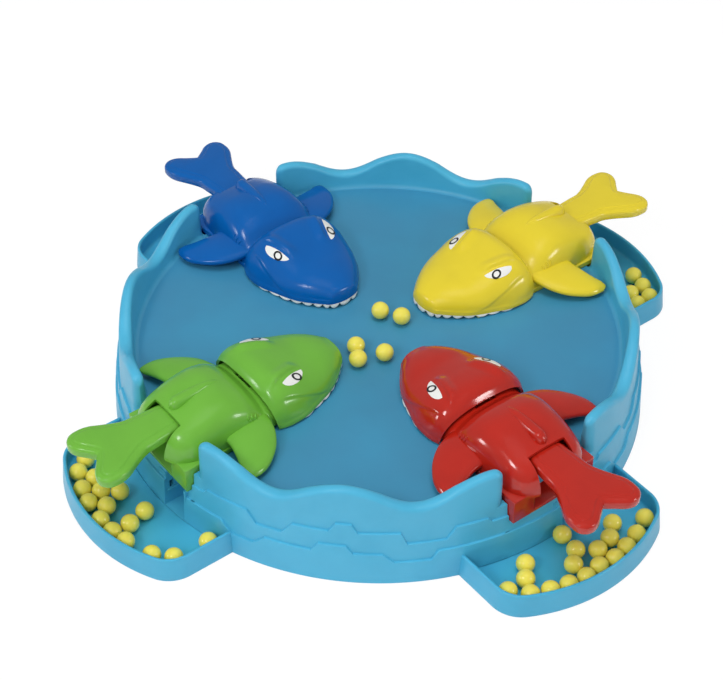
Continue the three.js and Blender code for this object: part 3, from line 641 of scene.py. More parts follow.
def copy_node(node: str, name: str) -> bpy.types.Object:
    """A welded copy of a CAD node's mesh, with its flat faces whole.

    Args:
        node: The node's name.
        name: The copy's name.

    Returns:
        The copy.
    """
    source = bpy.data.objects[node]
    piece = bpy.data.objects.new(name, source.data.copy())
    bpy.context.collection.objects.link(piece)
    edit(piece, weld, lambda: bpy.ops.mesh.dissolve_limited(angle_limit=math.radians(0.5)))
    return piece


def polish(piece: bpy.types.Object, angle: float = 40.0) -> None:
    """Shade a piece smooth, but for edges sharper than an angle in degrees."""
    take(piece)
    bpy.ops.object.shade_smooth_by_angle(angle=math.radians(angle))


def hand_over(piece: bpy.types.Object, finish: Finish, body: str, *nodes: str) -> None:
    """Dress a finished piece and fix it to its body.

    Args:
        piece: The piece.
        finish: Its finish.
        body: The body that it rides on.
        nodes: The CAD nodes that it stands for.
    """
    finish.dress(piece)
    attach(piece, body)
    if nodes:
        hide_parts(*nodes)
    LOG.info("%s rides on %s with %d faces", piece.name, body, len(piece.data.polygons))


@dataclass(frozen=True)
class Turn:
    """A turn about the basin's axis: a shark's own frame, outwards, across and up."""

    degrees: float

    def __call__(self, out: float, across: float, up: float) -> Vector:
        """A place of this frame, in the frame of the whole.

        Args:
            out: Millimetres outwards from the basin's axis.
            across: Millimetres to the left of the way outwards.
            up: Millimetres over the table.

        Returns:
            The place in metres.
        """
        angle = math.radians(self.degrees)
        x = out * math.cos(angle) - across * math.sin(angle)
        y = out * math.sin(angle) + across * math.cos(angle)
        return mm(x, y, up)

    def bring(self, piece: bpy.types.Object) -> bpy.types.Object:
        """Turn a settled piece about the axis into this frame."""
        piece.data.transform(Matrix.Rotation(math.radians(self.degrees), 4, "Z"))
        return piece


# Basin


@dataclass
class Basin:
    """The round basin with its wavy crown, terraces and pockets."""

    foot_radius: float = 178.0
    crown_radius: float = 171.0
    crown_inner: float = 163.4
    floor_radius: float = 162.0
    floor_height: float = 46.0
    crown_height: float = 66.0
    wave: float = 6.4
    trough: float = 8.6
    wave_pitch: float = 30.5
    crown_end: float = 11.65
    rounding: float = 4.0
    end_rounding: float = 5.5
    terrace_step: float = 1.6
    wall: float = 2.4
    low_height: float = 31.7
    shoulder: float = 45.0
    seat: float = 32.8
    fillet: float = 3.0
    pocket: Point = (8.0, 27.5)
    pocket_floor: float = 2.7
    slot_reach: Point = (169.6, 172.9)
    slot_height: Point = (15.6, 21.0)
    upper: tuple[Point, ...] = (
        (-1, 0.55), (-0.93, 0.55), (-0.905, 0.6), (-0.61, 0.6), (-0.545, 0.465), (-0.38, 0.465), (-0.31, 0.6),
        (-0.085, 0.6), (-0.045, 0.7), (0.055, 0.7), (0.09, 0.6), (0.35, 0.6), (0.385, 0.465), (0.625, 0.465),
        (0.685, 0.6), (0.89, 0.6), (0.915, 0.55), (1, 0.55),
    )
    lower: tuple[Point, ...] = (
        (-1, 0.365), (-0.78, 0.355), (-0.71, 0.24), (-0.56, 0.24), (-0.485, 0.35), (-0.19, 0.35), (-0.145, 0.45),
        (0.025, 0.45), (0.065, 0.36), (0.24, 0.36), (0.31, 0.26), (0.53, 0.26), (0.57, 0.36), (1, 0.365),
    )

    def outside(self, height: float) -> float:
        """Radius of the skirt's bare outside at a height."""
        bare = self.foot_radius - 2 * self.terrace_step
        return bare - (bare - self.crown_radius) * height / self.crown_height

    def inside(self, height: float) -> float:
        """Radius of the crown's inside at a height."""
        rise = (height - self.floor_height) / (self.crown_height - self.floor_height)
        return lerp(self.floor_radius, self.crown_inner, max(0.0, rise))

    def edge(self, table: Sequence[Point], share: float) -> float:
        """Height of a terrace's edge, by straight lines between a table's rows.

        Args:
            table: Shares of half a crown and of its height.
            share: Where to look, from -1 to 1.

        Returns:
            The height.
        """
        share = max(-1.0, min(1.0, share))
        index = max(1, min(len(table) - 1, bisect_right([row[0] for row in table], share)))
        (before, low), (after, high) = table[index - 1], table[index]
        return lerp(low, high, (share - before) / (after - before)) * self.crown_height

    def ledge(self, height: float, steps: int) -> list[Point]:
        """Rounded edge of a terrace and its ledge, up to the next step in.

        Args:
            height: Height of the ledge.
            steps: How many steps the terrace stands out.

        Returns:
            Radius and height, from outside in.
        """
        out = self.outside(height) + steps * self.terrace_step
        inner = out - self.terrace_step
        return [
            (out + 0.03, height - 0.6), (out - 0.07, height - 0.22), (out - 0.3, height - 0.04), (out - 0.55, height),
            (inner + 0.3, height), (inner + 0.06, height + 0.08), (inner, height + 0.35),
        ]

    def outer_rows(self, angle: float) -> list[Point]:
        """Section of the skirt and its terraces.

        Args:
            angle: Degrees from the crown's middle.

        Returns:
            Radius and height from the foot up to the shoulder.
        """
        share = angle / (45 - self.crown_end)
        low, high = self.edge(self.lower, share), self.edge(self.upper, share)
        step = self.terrace_step
        rows = [(self.outside(height) + 2 * step, height) for height in (0, low * 0.5)]
        rows += self.ledge(low, 2)
        rows.append((self.outside(lerp(low, high, 0.5)) + step, lerp(low, high, 0.5)))
        rows += self.ledge(high, 1)
        return rows

    def crown_rows(self, angle: float) -> list[Point]:
        """The crown's section above the terraces at an angle from its middle.

        Args:
            angle: Degrees from the crown's middle.

        Returns:
            Radius and height from the shoulder outside, over the crest, to the floor.
        """
        to_end = (45 - self.crown_end - abs(angle)) * math.radians(1) * self.crown_radius
        thick = math.sqrt(max(0.03, 1 - max(0.0, 1 - to_end / self.end_rounding) ** 2))
        wave = math.cos(math.radians(360 * angle / self.wave_pitch))
        top = self.crown_height + wave * (self.wave if wave > 0 else self.trough)
        top -= self.end_rounding * 0.9 * (1 - thick)
        shoulder, start = top - self.rounding, self.floor_height + self.fillet
        foot = self.shoulder + 0.2

        def at(height: float, side: float) -> float:
            middle = (self.outside(height) + self.inside(height)) / 2
            return middle + side * thick * (self.outside(height) - self.inside(height)) / 2

        rows = []
        if abs(thick - 1) > 1e-6:
            edge = self.outside(self.shoulder)
            rows += [(edge, self.shoulder - 0.4), (edge - 0.15, self.shoulder)]
            rows += [(at(foot, 1), self.shoulder), (at(foot, 1), foot + 0.3)]
        else:
            rise = max(self.shoulder, self.edge(self.upper, angle / (45 - self.crown_end)) + 1.2)
            rows += [(self.outside(rise + part), rise + part) for part in (0, 0.3, 0.6, 0.9)]
        outer = [lerp(rows[-1][1], shoulder, part) for part in (0.35, 0.7)]
        rows += [(at(height, 1), height) for height in outer]
        for degrees in range(0, 181, 15):
            turn = math.radians(degrees)
            across = math.copysign(abs(math.cos(turn)) ** 0.85, math.cos(turn))
            rows.append((at(shoulder, across), shoulder + self.rounding * math.sin(turn) ** 0.85))
        inner = [lerp(shoulder, start, part) for part in (0.25, 0.5, 0.75, 1.0)]
        rows += [(at(height, -1), height) for height in inner]
        level = self.floor_height - (1 - thick)
        for degrees in (22.5, 45, 67.5, 90):
            turn = math.radians(degrees)
            reach = at(start, -1) - self.fillet * (1 - math.cos(turn)) * thick
            rows.append((reach, start - (start - level) * math.sin(turn)))
        return rows + [(159.0, level - 0.1), (158.0, level - 0.5)]

    def back_rows(self, hollow: bool) -> list[Point]:
        """Back of the section, under the floor's edge and inside the skirt.

        Args:
            hollow: Whether the crown is hollow here.

        Returns:
            Radius and height, down to the foot.
        """
        inner, top = (self.floor_radius + self.wall, 49.0) if hollow else (self.floor_radius, 0.6)
        under = self.floor_height - self.wall
        return [(158.0, under), (inner, under), (inner, top), (self.outside(top) - self.wall, top),
                (self.outside(0) - self.wall, 0.0)]

    def crown_angles(self) -> list[float]:
        """Angles of the crown's sections, closest at its ends and at its terraces' corners.

        Returns:
            Degrees from the crown's middle, the outermost ones twice.
        """
        half = 45 - self.crown_end
        per_degree = math.radians(1) * self.crown_radius
        marks = {0.0, half, -half}
        for part in (0.03, 0.12, 0.27, 0.5, 0.75, 1):
            mark = half - self.end_rounding * part / per_degree
            marks |= {mark, -mark}
        marks |= {share * half for table in (self.upper, self.lower) for share, _ in table}
        corners, angles = sorted(marks), []
        for before, after in zip(corners, corners[1:]):
            count = max(1, math.ceil((after - before) / 0.55))
            angles += [lerp(before, after, part / count) for part in range(count)]
        return [angles[0], *angles, half, half]

    def crown(self, middle: float) -> bpy.types.Object:
        """One stretch of the crown with its skirt.

        Args:
            middle: Degrees of the crown's middle.

        Returns:
            The stretch, closed.
        """
        angles = self.crown_angles()
        end = 45 - self.crown_end
        solid_from = end - math.degrees((self.wall + 1) / self.floor_radius)
        rows = [
            self.outer_rows(angle) + self.crown_rows(angle) + self.back_rows(abs(angle) < solid_from)
            for angle in angles
        ]
        count = len(rows[0])

        def place(across: float, along: float) -> Vector:
            column = round(across * (len(angles) - 1))
            radius, height = rows[column][round(along * count) % count]
            angle = angles[column]
            if column in (0, len(angles) - 1) and height <= self.shoulder and radius >= self.floor_radius:
                angle = math.copysign(45 - math.degrees(math.asin(self.seat / radius)), angle)
            angle = math.radians(middle + angle)
            return mm(radius * math.cos(angle), radius * math.sin(angle), height)

        return loft("crown", len(angles) - 1, count, place)

    def floor(self) -> bpy.types.Object:
        """The floor with its edge and the low wall under the sharks.

        Returns:
            The floor.
        """
        edge, top = self.floor_radius, self.floor_height
        rows = [(0.2, top), (60, top), (120, top), (edge - 7, top), (edge - 0.8, top), (edge - 0.2, top - 0.3),
                (edge, top - 0.9), (edge, self.low_height - 1)]

        def place(across: float, along: float) -> Vector:
            radius, height = rows[round((1 - along) * (len(rows) - 1))]
            angle = 2 * math.pi * across
            return mm(radius * math.cos(angle), radius * math.sin(angle), height)

        return thicken(sheet("floor", 256, len(rows) - 1, place), self.wall)

    def slot(self) -> bpy.types.Object:
        """The cutter of the dark slot in the pocket's inner side."""
        (start, end), (low, high), near = self.slot_reach, self.slot_height, self.pocket[0]
        return block("slot", (start, near - 5.5, low), (end, near + 4, high), 0)

    def pocket_walls(self) -> list[bpy.types.Object]:
        """Sides, back, base and ledge of the pocket.

        Returns:
            The pieces.
        """
        (near, far), thick = self.pocket, 1.6
        back, low, top = self.foot_radius - 16, self.pocket_floor - thick, self.low_height - self.wall
        side = block("side", (back - thick, near - 7, low), (175.2, near - 0.06, top), 0)
        carve(side, [self.slot()])

        def base(across: float, along: float) -> Vector:
            v = lerp(near - thick, far + thick, across)
            reach = math.sqrt((self.foot_radius - 0.1) ** 2 - v * v)
            return mm(lerp(back - thick, reach, along), v, self.pocket_floor)

        plate = sheet("base", 12, 2, base)
        if plate.data.polygons[0].normal.z < 0:
            flip(plate)
        return [
            side,
            thicken(plate, thick),
            block("side", (back - thick, far + 0.06, low), (174.6, far + thick, top), 0),
            block("back", (back - thick, near - thick, low), (back, far + thick, top), 0),
            block("ledge", (back - 1, near - 0.5, 13.2), (175, near + 1.3, 14.8), 0.3),
        ]

    def low_skirt(self, middle: float) -> bpy.types.Object:
        """The low skirt under one shark, with its ledge and its pocket.

        Args:
            middle: Degrees of the shark's centre line.

        Returns:
            The low skirt.
        """
        half, top, step = self.crown_end + 1.1, self.low_height, self.terrace_step
        low = self.lower[0][1] * self.crown_height
        rows = [(self.outside(height) + 2 * step, height) for height in (0, 7, 14)]
        rows += self.ledge(low, 2)
        rows += [(self.outside(top) + step, top - 0.6), (self.outside(top) + step - 0.1, top - 0.2)]
        rows += [(self.outside(top) + step - 0.5, top), (self.floor_radius - 1.5, top)]
        under = top - self.wall
        rows += [(self.floor_radius - 1.5, under), (self.outside(under) - self.wall, under)]
        rows += [(self.outside(0) - self.wall, 0)]

        def place(across: float, along: float) -> Vector:
            radius, height = rows[round(along * len(rows)) % len(rows)]
            angle = math.radians(lerp(-half, half, across))
            return mm(radius * math.cos(angle), radius * math.sin(angle), height)

        skirt = loft("low_skirt", 28, len(rows), place)
        near, far = self.pocket
        low, high = (self.foot_radius - 16, near, self.pocket_floor - 0.1), (self.foot_radius + 6, far, top + 5)
        carve(skirt, [block("mouth", low, high, 0), self.slot()])
        return Turn(middle).bring(join("low_skirt", [skirt, *self.pocket_walls()]))

    def build(self) -> None:
        """Build the basin and hand it over."""
        stretches = [self.crown(middle) for middle in (45, 135, 225, 315)]
        skirts = [self.low_skirt(middle) for middle in (0, 90, 180, 270)]
        shell = join("basin_shell", [self.floor(), *stretches, *skirts])
        polish(shell, 32)
        hand_over(shell, Finish.BASIN, "base", "basin")


# Trays


@dataclass
class Tray:
    """A ball tray clipped to the skirt."""

    colour: str
    turn: Turn
    back: float = 178.15
    skirt_lean: float = 0.058
    reach: float = 230.0
    half_width: float = 66.0
    height: float = 17.0
    wall: float = 2.2
    floor: float = 2.4
    front_radius: float = 113.0
    corner_radius: float = 22.0
    draft: float = 1.8
    floor_round: float = 2.2

    def outline(self, share: float, inset: float, height: float = 0.0) -> Point:
        """A point of the wall in plan.

        Args:
            share: From 0 at one back corner to 1 at the other.
            inset: How far in from the foot of the wall.
            height: Height over the table, for the skirt's lean at the back.

        Returns:
            Outwards and across.
        """
        mirrored = share > 0.5
        along = 2 * (1 - share if mirrored else share)
        half, front, corner = self.half_width - inset, self.front_radius - inset, self.corner_radius - inset
        centre, side = self.reach - self.front_radius, self.half_width - self.corner_radius
        pivot = centre + math.sqrt((self.front_radius - self.corner_radius) ** 2 - side**2)
        lean = math.atan2(side, pivot - centre)
        start = math.sqrt((self.back - self.skirt_lean * height) ** 2 - half**2)
        if along < 0.3:
            point = (lerp(start, pivot, along / 0.3), half)
        elif along < 0.6:
            angle = lerp(math.pi / 2, lean, (along - 0.3) / 0.3)
            point = (pivot + corner * math.cos(angle), side + corner * math.sin(angle))
        else:
            angle = lerp(lean, 0, (along - 0.6) / 0.4)
            point = (centre + front * math.cos(angle), front * math.sin(angle))
        return (point[0], -point[1]) if mirrored else point

    def rows(self) -> list[Point]:
        """The wall's section.

        Returns:
            Inset and height, from the foot outside over the rim to the floor.
        """
        lean, half = self.draft / self.height, self.wall / 2
        shoulder, corner = self.height - half, self.floor_round
        rows = [(0.5, 0.0), (0.12, 0.15), (lean * 0.5, 0.5)]
        rows += [(lean * height, height) for height in (4, 8, 12, shoulder)]
        for turn in map(math.radians, (30, 60, 90, 120, 150, 180)):
            rows.append((lean * shoulder + half * (1 - math.cos(turn)), shoulder + half * math.sin(turn)))
        rows += [(self.wall + lean * height, height) for height in (12, 8, self.floor + corner)]
        for turn in map(math.radians, (30, 60, 90)):
            inset = self.wall + corner - corner * math.cos(turn) + lean * 4
            rows.append((inset, self.floor + corner - corner * math.sin(turn)))
        return rows

    def build(self) -> None:
        """Build the tray and hand it over."""
        rows = self.rows()
        spread = (0.3, 0.62, 1.0)
        last = len(rows) + 2 * len(spread) - 1

        def place(across: float, along: float) -> Vector:
            row = round(along * last) - len(spread)
            if 0 <= row < len(rows):
                inset, height = rows[row]
                return self.turn(*self.outline(across, inset, height), height)
            if row < 0:
                (inset, height), part = rows[0], spread[-row - 1]
            else:
                (inset, height), part = rows[-1], spread[row - len(rows)]
            edge = self.outline(across, inset, height)
            turn = lerp(1, -1, across) * math.asin((self.half_width - inset) / self.back)
            behind = (self.back * math.cos(turn), self.back * math.sin(turn))
            return self.turn(lerp(edge[0], behind[0], part), lerp(edge[1], behind[1], part), height)

        tub = loft(f"{self.colour}_tray_tub", 120, last, place)
        polish(tub, 35)
        hand_over(tub, Finish.TRAY, "base", f"{self.colour}_tray")


# Sharks


def dome_point(angle: float, half_width: float, height: float, square: float) -> tuple[Point, Point]:
    """A point of a superellipse and its outward direction.

    Args:
        angle: From 0 at the right foot over the top to pi.
        half_width: Half the width at the foot.
        height: Height over the foot.
        square: Its exponent.

    Returns:
        The point and the direction, across and up.
    """
    c, s = math.cos(angle), max(0.0, math.sin(angle))
    across = math.copysign(abs(c) ** (2 / square), c)
    rise = s ** (2 / square)
    way = Vector((
        math.copysign(abs(across) ** (square - 1), across) / max(half_width, 1e-6),
        rise ** (square - 1) / max(height, 1e-6),
    ))
    way = way.normalized() if way.length > 0 else Vector((0, 1))
    return (half_width * across, height * rise), (way.x, way.y)


@dataclass
class Head:
    """A shark's head with its brows, cheeks and eyes."""

    colour: str
    turn: Turn
    finish: Finish
    nose: float = 36.0
    rim: float = 106.0
    half_width: float = 36.8
    height: float = 27.6
    rim_lip: float = 47.2
    nose_lip: float = 50.8
    lean: float = 3.7
    shell: float = 1.8
    square: float = 2.5
    eye_front: Point = (74.2, 17.6)
    eye_rear: Point = (91.4, 23.3)
    eye_spread: Point = (-0.9, 5.0)
    ring_centre: Point = (80.4, 21.9)
    ring_radii: Point = (1.95, 3.15)
    shape: Profile = field(default_factory=lambda: Profile([
        (0, 0, 0), (0.173, 0.28, 0.3), (0.283, 0.38, 0.39), (0.4, 0.52, 0.5), (0.529, 0.69, 0.6), (0.648, 0.83, 0.67),
        (0.748, 0.91, 0.79), (0.837, 0.985, 0.92), (0.922, 1, 1), (0.97, 0.975, 0.93), (1, 0.935, 0.775),
    ]))

    def lip(self, share: float) -> float:
        """Height of the lip at a share of the length."""
        return lerp(self.nose_lip, self.rim_lip, share)

    def relief(self, out: float, across: float) -> float:
        """How far brow, socket and cheek stand out of the plain dome.

        Args:
            out: Distance from the basin's centre.
            across: Distance from the shark's centre line.

        Returns:
            The height along the surface's own direction.
        """
        side = abs(across)
        window = smooth(out, 72, 80) * smooth(out, 101, 92)
        ridge = 13.6 + (out - 72) * 0.3 - 1.6 * window
        mound = 1.2 * math.exp(-(((out - 84) / 12) ** 2) - ((side - 21.5) / 6.5) ** 2)
        hood = 2.0 * window * smooth(side, ridge - 7, ridge) * smooth(side, ridge + 2.6, ridge + 0.4)
        return mound + hood

    def cheek(self, out: float, up: float) -> float:
        """How far the cheek below its crease lies back.

        Args:
            out: Distance from the basin's centre.
            up: Height over the table.

        Returns:
            The depth, below 0.
        """
        crease = lerp(52, 66, smooth(out, 58, 96))
        reach = smooth(out, 56, 66) * smooth(out, 101, 93)
        return -0.7 * reach * smooth(up, crease + 0.8, crease - 1.2) * smooth(up, crease - 13, crease - 5)

    def skin(self, share: float, angle: float, lift: float = 0.0) -> Vector:
        """A point of the head's surface.

        Args:
            share: Along the head from nose to rim.
            angle: From 0 at the foot on one side over the top to pi.
            lift: How far outside the surface.

        Returns:
            The place in metres.
        """
        width, rise = self.shape(math.sqrt(share))
        (across, up), (way, climb) = dome_point(angle, self.half_width * width, self.height * rise, self.square)
        out = self.nose + (self.rim - self.nose) * share
        push = lift + self.relief(out, across) + self.cheek(out, self.lip(share) + up)
        push *= smooth(share, 0, 0.1)
        push += 0.4 * smooth(share, 0.01, 0.05) * smooth(up, 3.5, 3.0)
        back = self.lean * share * up / (self.height * 0.775)
        return self.turn(out + back, across + way * push, self.lip(share) + up + climb * push)

    def on_top(self, out: float, across: float, lift: float) -> Vector:
        """A point of the surface given by its place seen from above.

        Args:
            out: Distance from the basin's centre.
            across: Distance from the shark's centre line.
            lift: How far outside the surface.

        Returns:
            The place in metres.
        """
        share = (out - self.nose) / (self.rim - self.nose)
        width, _ = self.shape(math.sqrt(share))
        ratio = min(0.999, abs(across) / (self.half_width * width)) ** (self.square / 2)
        angle = math.acos(math.copysign(ratio, across))
        return self.skin(share, angle, lift)

    def shell_piece(self) -> bpy.types.Object:
        """The dome with its wall.

        Returns:
            The dome, open below and at its rim.
        """

        def place(across: float, along: float) -> Vector:
            return self.skin(along**1.7, math.pi * across)

        return thicken(sheet("dome", 120, 96, place), self.shell, even=False)

    def works(self) -> list[bpy.types.Object]:
        """Ears, stubs and the lifting bar inside the head.

        Returns:
            The pieces.
        """
        front, hinge, level = 91.2, 108.8, 61.4
        made = [block("lift_bar", (front, -8.3, 62.45), (front + 3, 8.3, 65.45))]
        for side in (-1, 1):
            inner, outer = side * 5.6, side * 8.3
            made += [
                block("ear", (front, inner, 60.2), (hinge, outer, 62.9)),
                block("web", (front, inner, 60.2), (hinge - 8, outer, 71.5)),
                rod("eye", 2, (hinge, inner, level), (hinge, outer, level)),
                rod("stub", 1.5, (hinge, inner, level), (hinge, side * 11.7, level)),
            ]
        return [self.turn.bring(piece) for piece in made]

    def eye(self, side: int) -> tuple[bpy.types.Object, bpy.types.Object]:
        """The white of one eye and its ring.

        Args:
            side: 1 or -1, across.

        Returns:
            The white and the ring.
        """
        def white(across: float, along: float) -> Vector:
            out, middle = (lerp(front, rear, along) for front, rear in zip(self.eye_front, self.eye_rear))
            swell = math.sin(math.pi * along) ** 0.5 if 0 < along < 1 else 0.0
            spread = lerp(*self.eye_spread, across) * swell
            return self.on_top(out - spread * 0.1, side * (middle + spread), 0.12)

        def ring(across: float, along: float) -> Vector:
            angle, radius = 2 * math.pi * across, lerp(*self.ring_radii, along)
            out, middle = self.ring_centre
            return self.on_top(out + radius * math.cos(angle), side * (middle + 0.84 * radius * math.sin(angle)), 0.3)

        return sheet("white", 20, 44, white), sheet("ring", 48, 3, ring)

    def build(self) -> None:
        """Build the head and its eyes and hand them over."""
        shell = join(f"{self.colour}_head_shell", [self.shell_piece(), *self.works()])
        polish(shell, 50)
        hand_over(shell, self.finish, f"{self.colour}_bite", f"{self.colour}_head")
        pairs = [self.eye(side) for side in (-1, 1)]
        for label, finish, parts in (
            ("eye_whites", Finish.WHITE, [pair[0] for pair in pairs]),
            ("eye_rings", Finish.BLACK, [pair[1] for pair in pairs]),
        ):
            printed = join(f"{self.colour}_{label}", parts)
            self.face_up(printed)
            polish(printed, 60)
            hand_over(printed, finish, f"{self.colour}_bite")

    @staticmethod
    def face_up(piece: bpy.types.Object) -> None:
        """Turn the faces of a thin print that look down, and give it its ink's thickness.

        Args:
            piece: The print.
        """
        take(piece)
        for polygon in piece.data.polygons:
            polygon.select = polygon.normal.z < 0
        bpy.ops.object.mode_set(mode="EDIT")
        bpy.ops.mesh.flip_normals()
        bpy.ops.object.mode_set(mode="OBJECT")
        thicken(piece, 0.08)


@dataclass
class Teeth:
    """The strip of teeth under a head's lip."""

    head: Head
    count: int = 17
    width: float = 2.0
    inset: float = -0.1
    front_drop: float = 4.4
    rear_drop: float = 1.8
    reach: float = 0.74

    def path(self, along: float) -> tuple[float, Point, float]:
        """The lip's outline from one side round the nose to the other.

        Args:
            along: From -1 to 1, with the nose at 0.

        Returns:
            Share of the head's length, the place in plan and the drop of a full tooth.
        """
        share = max(1e-5, self.reach * abs(along) ** 1.7)
        width, _ = self.head.shape(math.sqrt(share))
        out = self.head.nose + (self.head.rim - self.head.nose) * share
        across = math.copysign(self.head.half_width * width, along)
        return share, (out, across), lerp(self.front_drop, self.rear_drop, abs(along))

    def build(self) -> None:
        """Build the strip and hand it over."""
        per_tooth = 10

        def place(across: float, along: float) -> Vector:
            t = 2 * across - 1
            (_, before, _), (share, point, drop), (_, after, _) = (self.path(t + step) for step in (-0.01, 0, 0.01))
            ahead = Vector((after[0] - before[0], after[1] - before[1])).normalized()
            inward = Vector((ahead.y, -ahead.x))
            phase = (across * self.count) % 1
            lobe = 0.12 + 0.88 * abs(math.sin(math.pi * phase)) ** 0.7
            angle = 2 * math.pi * along
            depth = self.inset + self.width / 2 * (1 - math.cos(angle))
            level = -0.25 - drop * lobe * (0.5 - 0.5 * math.sin(angle)) if math.sin(angle) < 0.99 else -0.25
            edge = Vector(point) + inward * (depth + 0.25 * abs(math.cos(math.pi * phase)) ** 6)
            return self.head.turn(edge.x, edge.y, self.head.lip(share) + level)

        strip = sheet(f"{self.head.colour}_tooth_strip", self.count * per_tooth, 10, place)
        edit(strip, face_out)
        polish(strip, 60)
        hand_over(strip, Finish.WHITE, f"{self.head.colour}_bite", f"{self.head.colour}_teeth")


@dataclass
class Body:
    """A shark's body with neck, dorsal and pectoral fins and gills."""

    colour: str
    turn: Turn
    finish: Finish
    foot: float = 47.0
    seat: float = 50.3
    shell: float = 1.8
    fin_top: float = 78.7
    cut_start: float = 164.5
    cut_half: float = 14.5
    gill_start: float = 118.2
    gill_pitch: float = 2.9
    gill_width: float = 1.7
    gill_rise: float = 0.9
    peg: Point = (150.0, 24.0)
    shape: Profile = field(default_factory=lambda: Profile([
        (98, 31.6, 18.6, 2.5), (111.4, 31.6, 18.8, 2.5), (112.2, 31.5, 19.3, 2.5), (113.8, 31.3, 20.8, 2.6),
        (118.3, 31.6, 24.6, 2.8), (124.6, 31.9, 28.1, 3.0), (136.0, 31.7, 30.6, 3.0), (146.4, 31.0, 29.8, 3.0),
        (155.1, 30.3, 27.4, 3.0), (163.1, 29.2, 24.6, 3.0), (169.6, 26.8, 21.7, 3.0), (174.0, 23.6, 18.1, 2.8),
        (177.0, 19.1, 12.8, 2.6), (178.2, 16.6, 8.0, 2.4), (178.45, 15.8, 3.3, 2.4),
    ]))

    def dorsal(self) -> bpy.types.Object:
        """The dorsal fin, a blade set 2 mm into the back.

        Returns:
            The fin, closed.
        """
        front, rear = 124.5, 163.2
        widths = Profile([
            (front, 0.3), (130, 1.6), (138, 2.9), (148, 3.9), (156, 4.2), (160, 3.8), (162.4, 2.4), (rear, 0.5),
        ])
        side = [(1.0, 0.0), (0.98, 0.35), (0.9, 0.6), (0.76, 0.8), (0.58, 0.93), (0.35, 0.99), (0.0, 1.0)]
        section = side + [(-wide, high) for wide, high in reversed(side[:-1])]

        def place(across: float, along: float) -> Vector:
            out = lerp(front, rear, 1 - (1 - along) ** 1.4)
            wide, high = section[round(across * len(section)) % len(section)]
            back = self.foot + self.shape(out)[1]
            top = lerp(back - 0.4, self.fin_top, smooth(out, front, 138)) - 4 * max(0.0, (out - 157) / 6.2) ** 2.5
            return self.turn(out, wide * widths(out)[0], lerp(back - 2, top, high))

        return loft("dorsal", len(section), 36, place)

    def skin(self, out: float, angle: float, lift: float = 0.0) -> Vector:
        """A point of the body's surface.

        Args:
            out: Distance from the basin's centre.
            angle: From 0 at the foot on one side over the top to pi.
            lift: How far outside the surface.

        Returns:
            The place in metres.
        """
        half, height, square = self.shape(out)
        (across, up), (way, climb) = dome_point(angle, half, height, square)
        level = max(self.seat, self.foot + up + climb * lift)
        return self.turn(out, across + way * lift, level)

    def hull(self) -> bpy.types.Object:
        """The shell with its cuts for the tail, the head's ears and the tail's arm.

        Returns:
            The shell, open below and at its neck.
        """
        stations = [lerp(98, 111, i / 6) for i in range(6)] + [111 + i * 0.8 for i in range(82)]
        stations += [176.6 + 0.2 * i for i in range(8)] + [178.15, 178.3, 178.4, 178.45]

        def place(across: float, along: float) -> Vector:
            out = stations[round(along * (len(stations) - 1))]
            share = math.sin(math.pi * (0.5 - across))
            cosine = math.copysign(abs(share) ** (self.shape(out)[2] / 2), share)
            return self.skin(out, math.acos(max(-1.0, min(1.0, cosine))))

        shell = thicken(sheet("hull", 168, len(stations) - 1, place), self.shell, even=False)
        for low, high in (
            ((self.cut_start, -self.cut_half, 40), (190, self.cut_half, 90)),
            ((90, -8.55, 60.2), (109.8, 8.55, 80)),
            ((108, -5.3, 60.2), (114.2, 5.3, 65.5)),
        ):
            carve(shell, [self.turn.bring(block("cut", low, high, 0))])
        return shell

    def pectoral(self, side: int) -> bpy.types.Object:
        """One side fin.

        Args:
            side: 1 or -1, across.

        Returns:
            The fin, closed.
        """
        shape = Profile([
            (0, 109, 143, 56, 10), (0.23, 111, 143, 55.5, 9.6), (0.46, 114, 144.6, 54.5, 8.6),
            (0.69, 120, 147, 53, 7.6), (0.86, 127.4, 149, 52, 6.4), (0.955, 133.5, 148.6, 51.3, 4.8),
            (1.0, 139, 145.4, 51.0, 1.2),
        ])

        def place(across: float, along: float) -> Vector:
            share = 1 - (1 - along) ** 1.5
            front, rear, level, thick = shape(share)
            angle = 2 * math.pi * across
            bulge = math.sin(angle)
            rise = thick / 2 * math.copysign(abs(bulge) ** 0.85, bulge)
            return self.turn(
                (front + rear) / 2 + (rear - front) / 2 * math.cos(angle),
                side * (26 + 37 * share),
                level + max(rise, -thick / 2 * 0.75),
            )

        return loft("fin", 56, 30, place)

    def gill(self, side: int, index: int) -> bpy.types.Object:
        """One curved gill ridge on a flank.

        Args:
            side: 1 or -1, across.
            index: 0 to 2, from the head backwards.

        Returns:
            The ridge.
        """
        start = self.gill_start + self.gill_pitch * index

        def place(across: float, along: float) -> Vector:
            bow = 1.3 * math.sin(math.pi * along)
            turn = math.radians(lerp(20, 34, along))
            slim = max(0.15, math.sin(math.pi * along) ** 0.5) if 0 < along < 1 else 0.12
            out = start + bow + (across - 0.5) * self.gill_width * slim
            lift = -0.1 + self.gill_rise * slim * math.sin(math.pi * across)
            return self.skin(out, turn if side > 0 else math.pi - turn, lift)

        ridge = sheet("gill", 8, 16, place)
        if side < 0:
            flip(ridge)
        return ridge

    def works(self) -> list[bpy.types.Object]:
        """Ribs, hangers, bosses and pegs inside the body.

        Returns:
            The pieces.
        """
        made, (out, across) = [], self.peg
        for side in (-1, 1):
            made += [
                block("rib", (99, side * 8.8, 59.7), (111.8, side * 11.5, 64.6)),
                block("hanger", (125, side * 15, 57), (135, side * 17.5, 74)),
                rod("boss", 3.2, (out, side * across, self.seat), (out, side * across, 64)),
                rod("peg", 2, (out, side * across, 43.5), (out, side * across, 51)),
            ]
        return [self.turn.bring(piece) for piece in made]

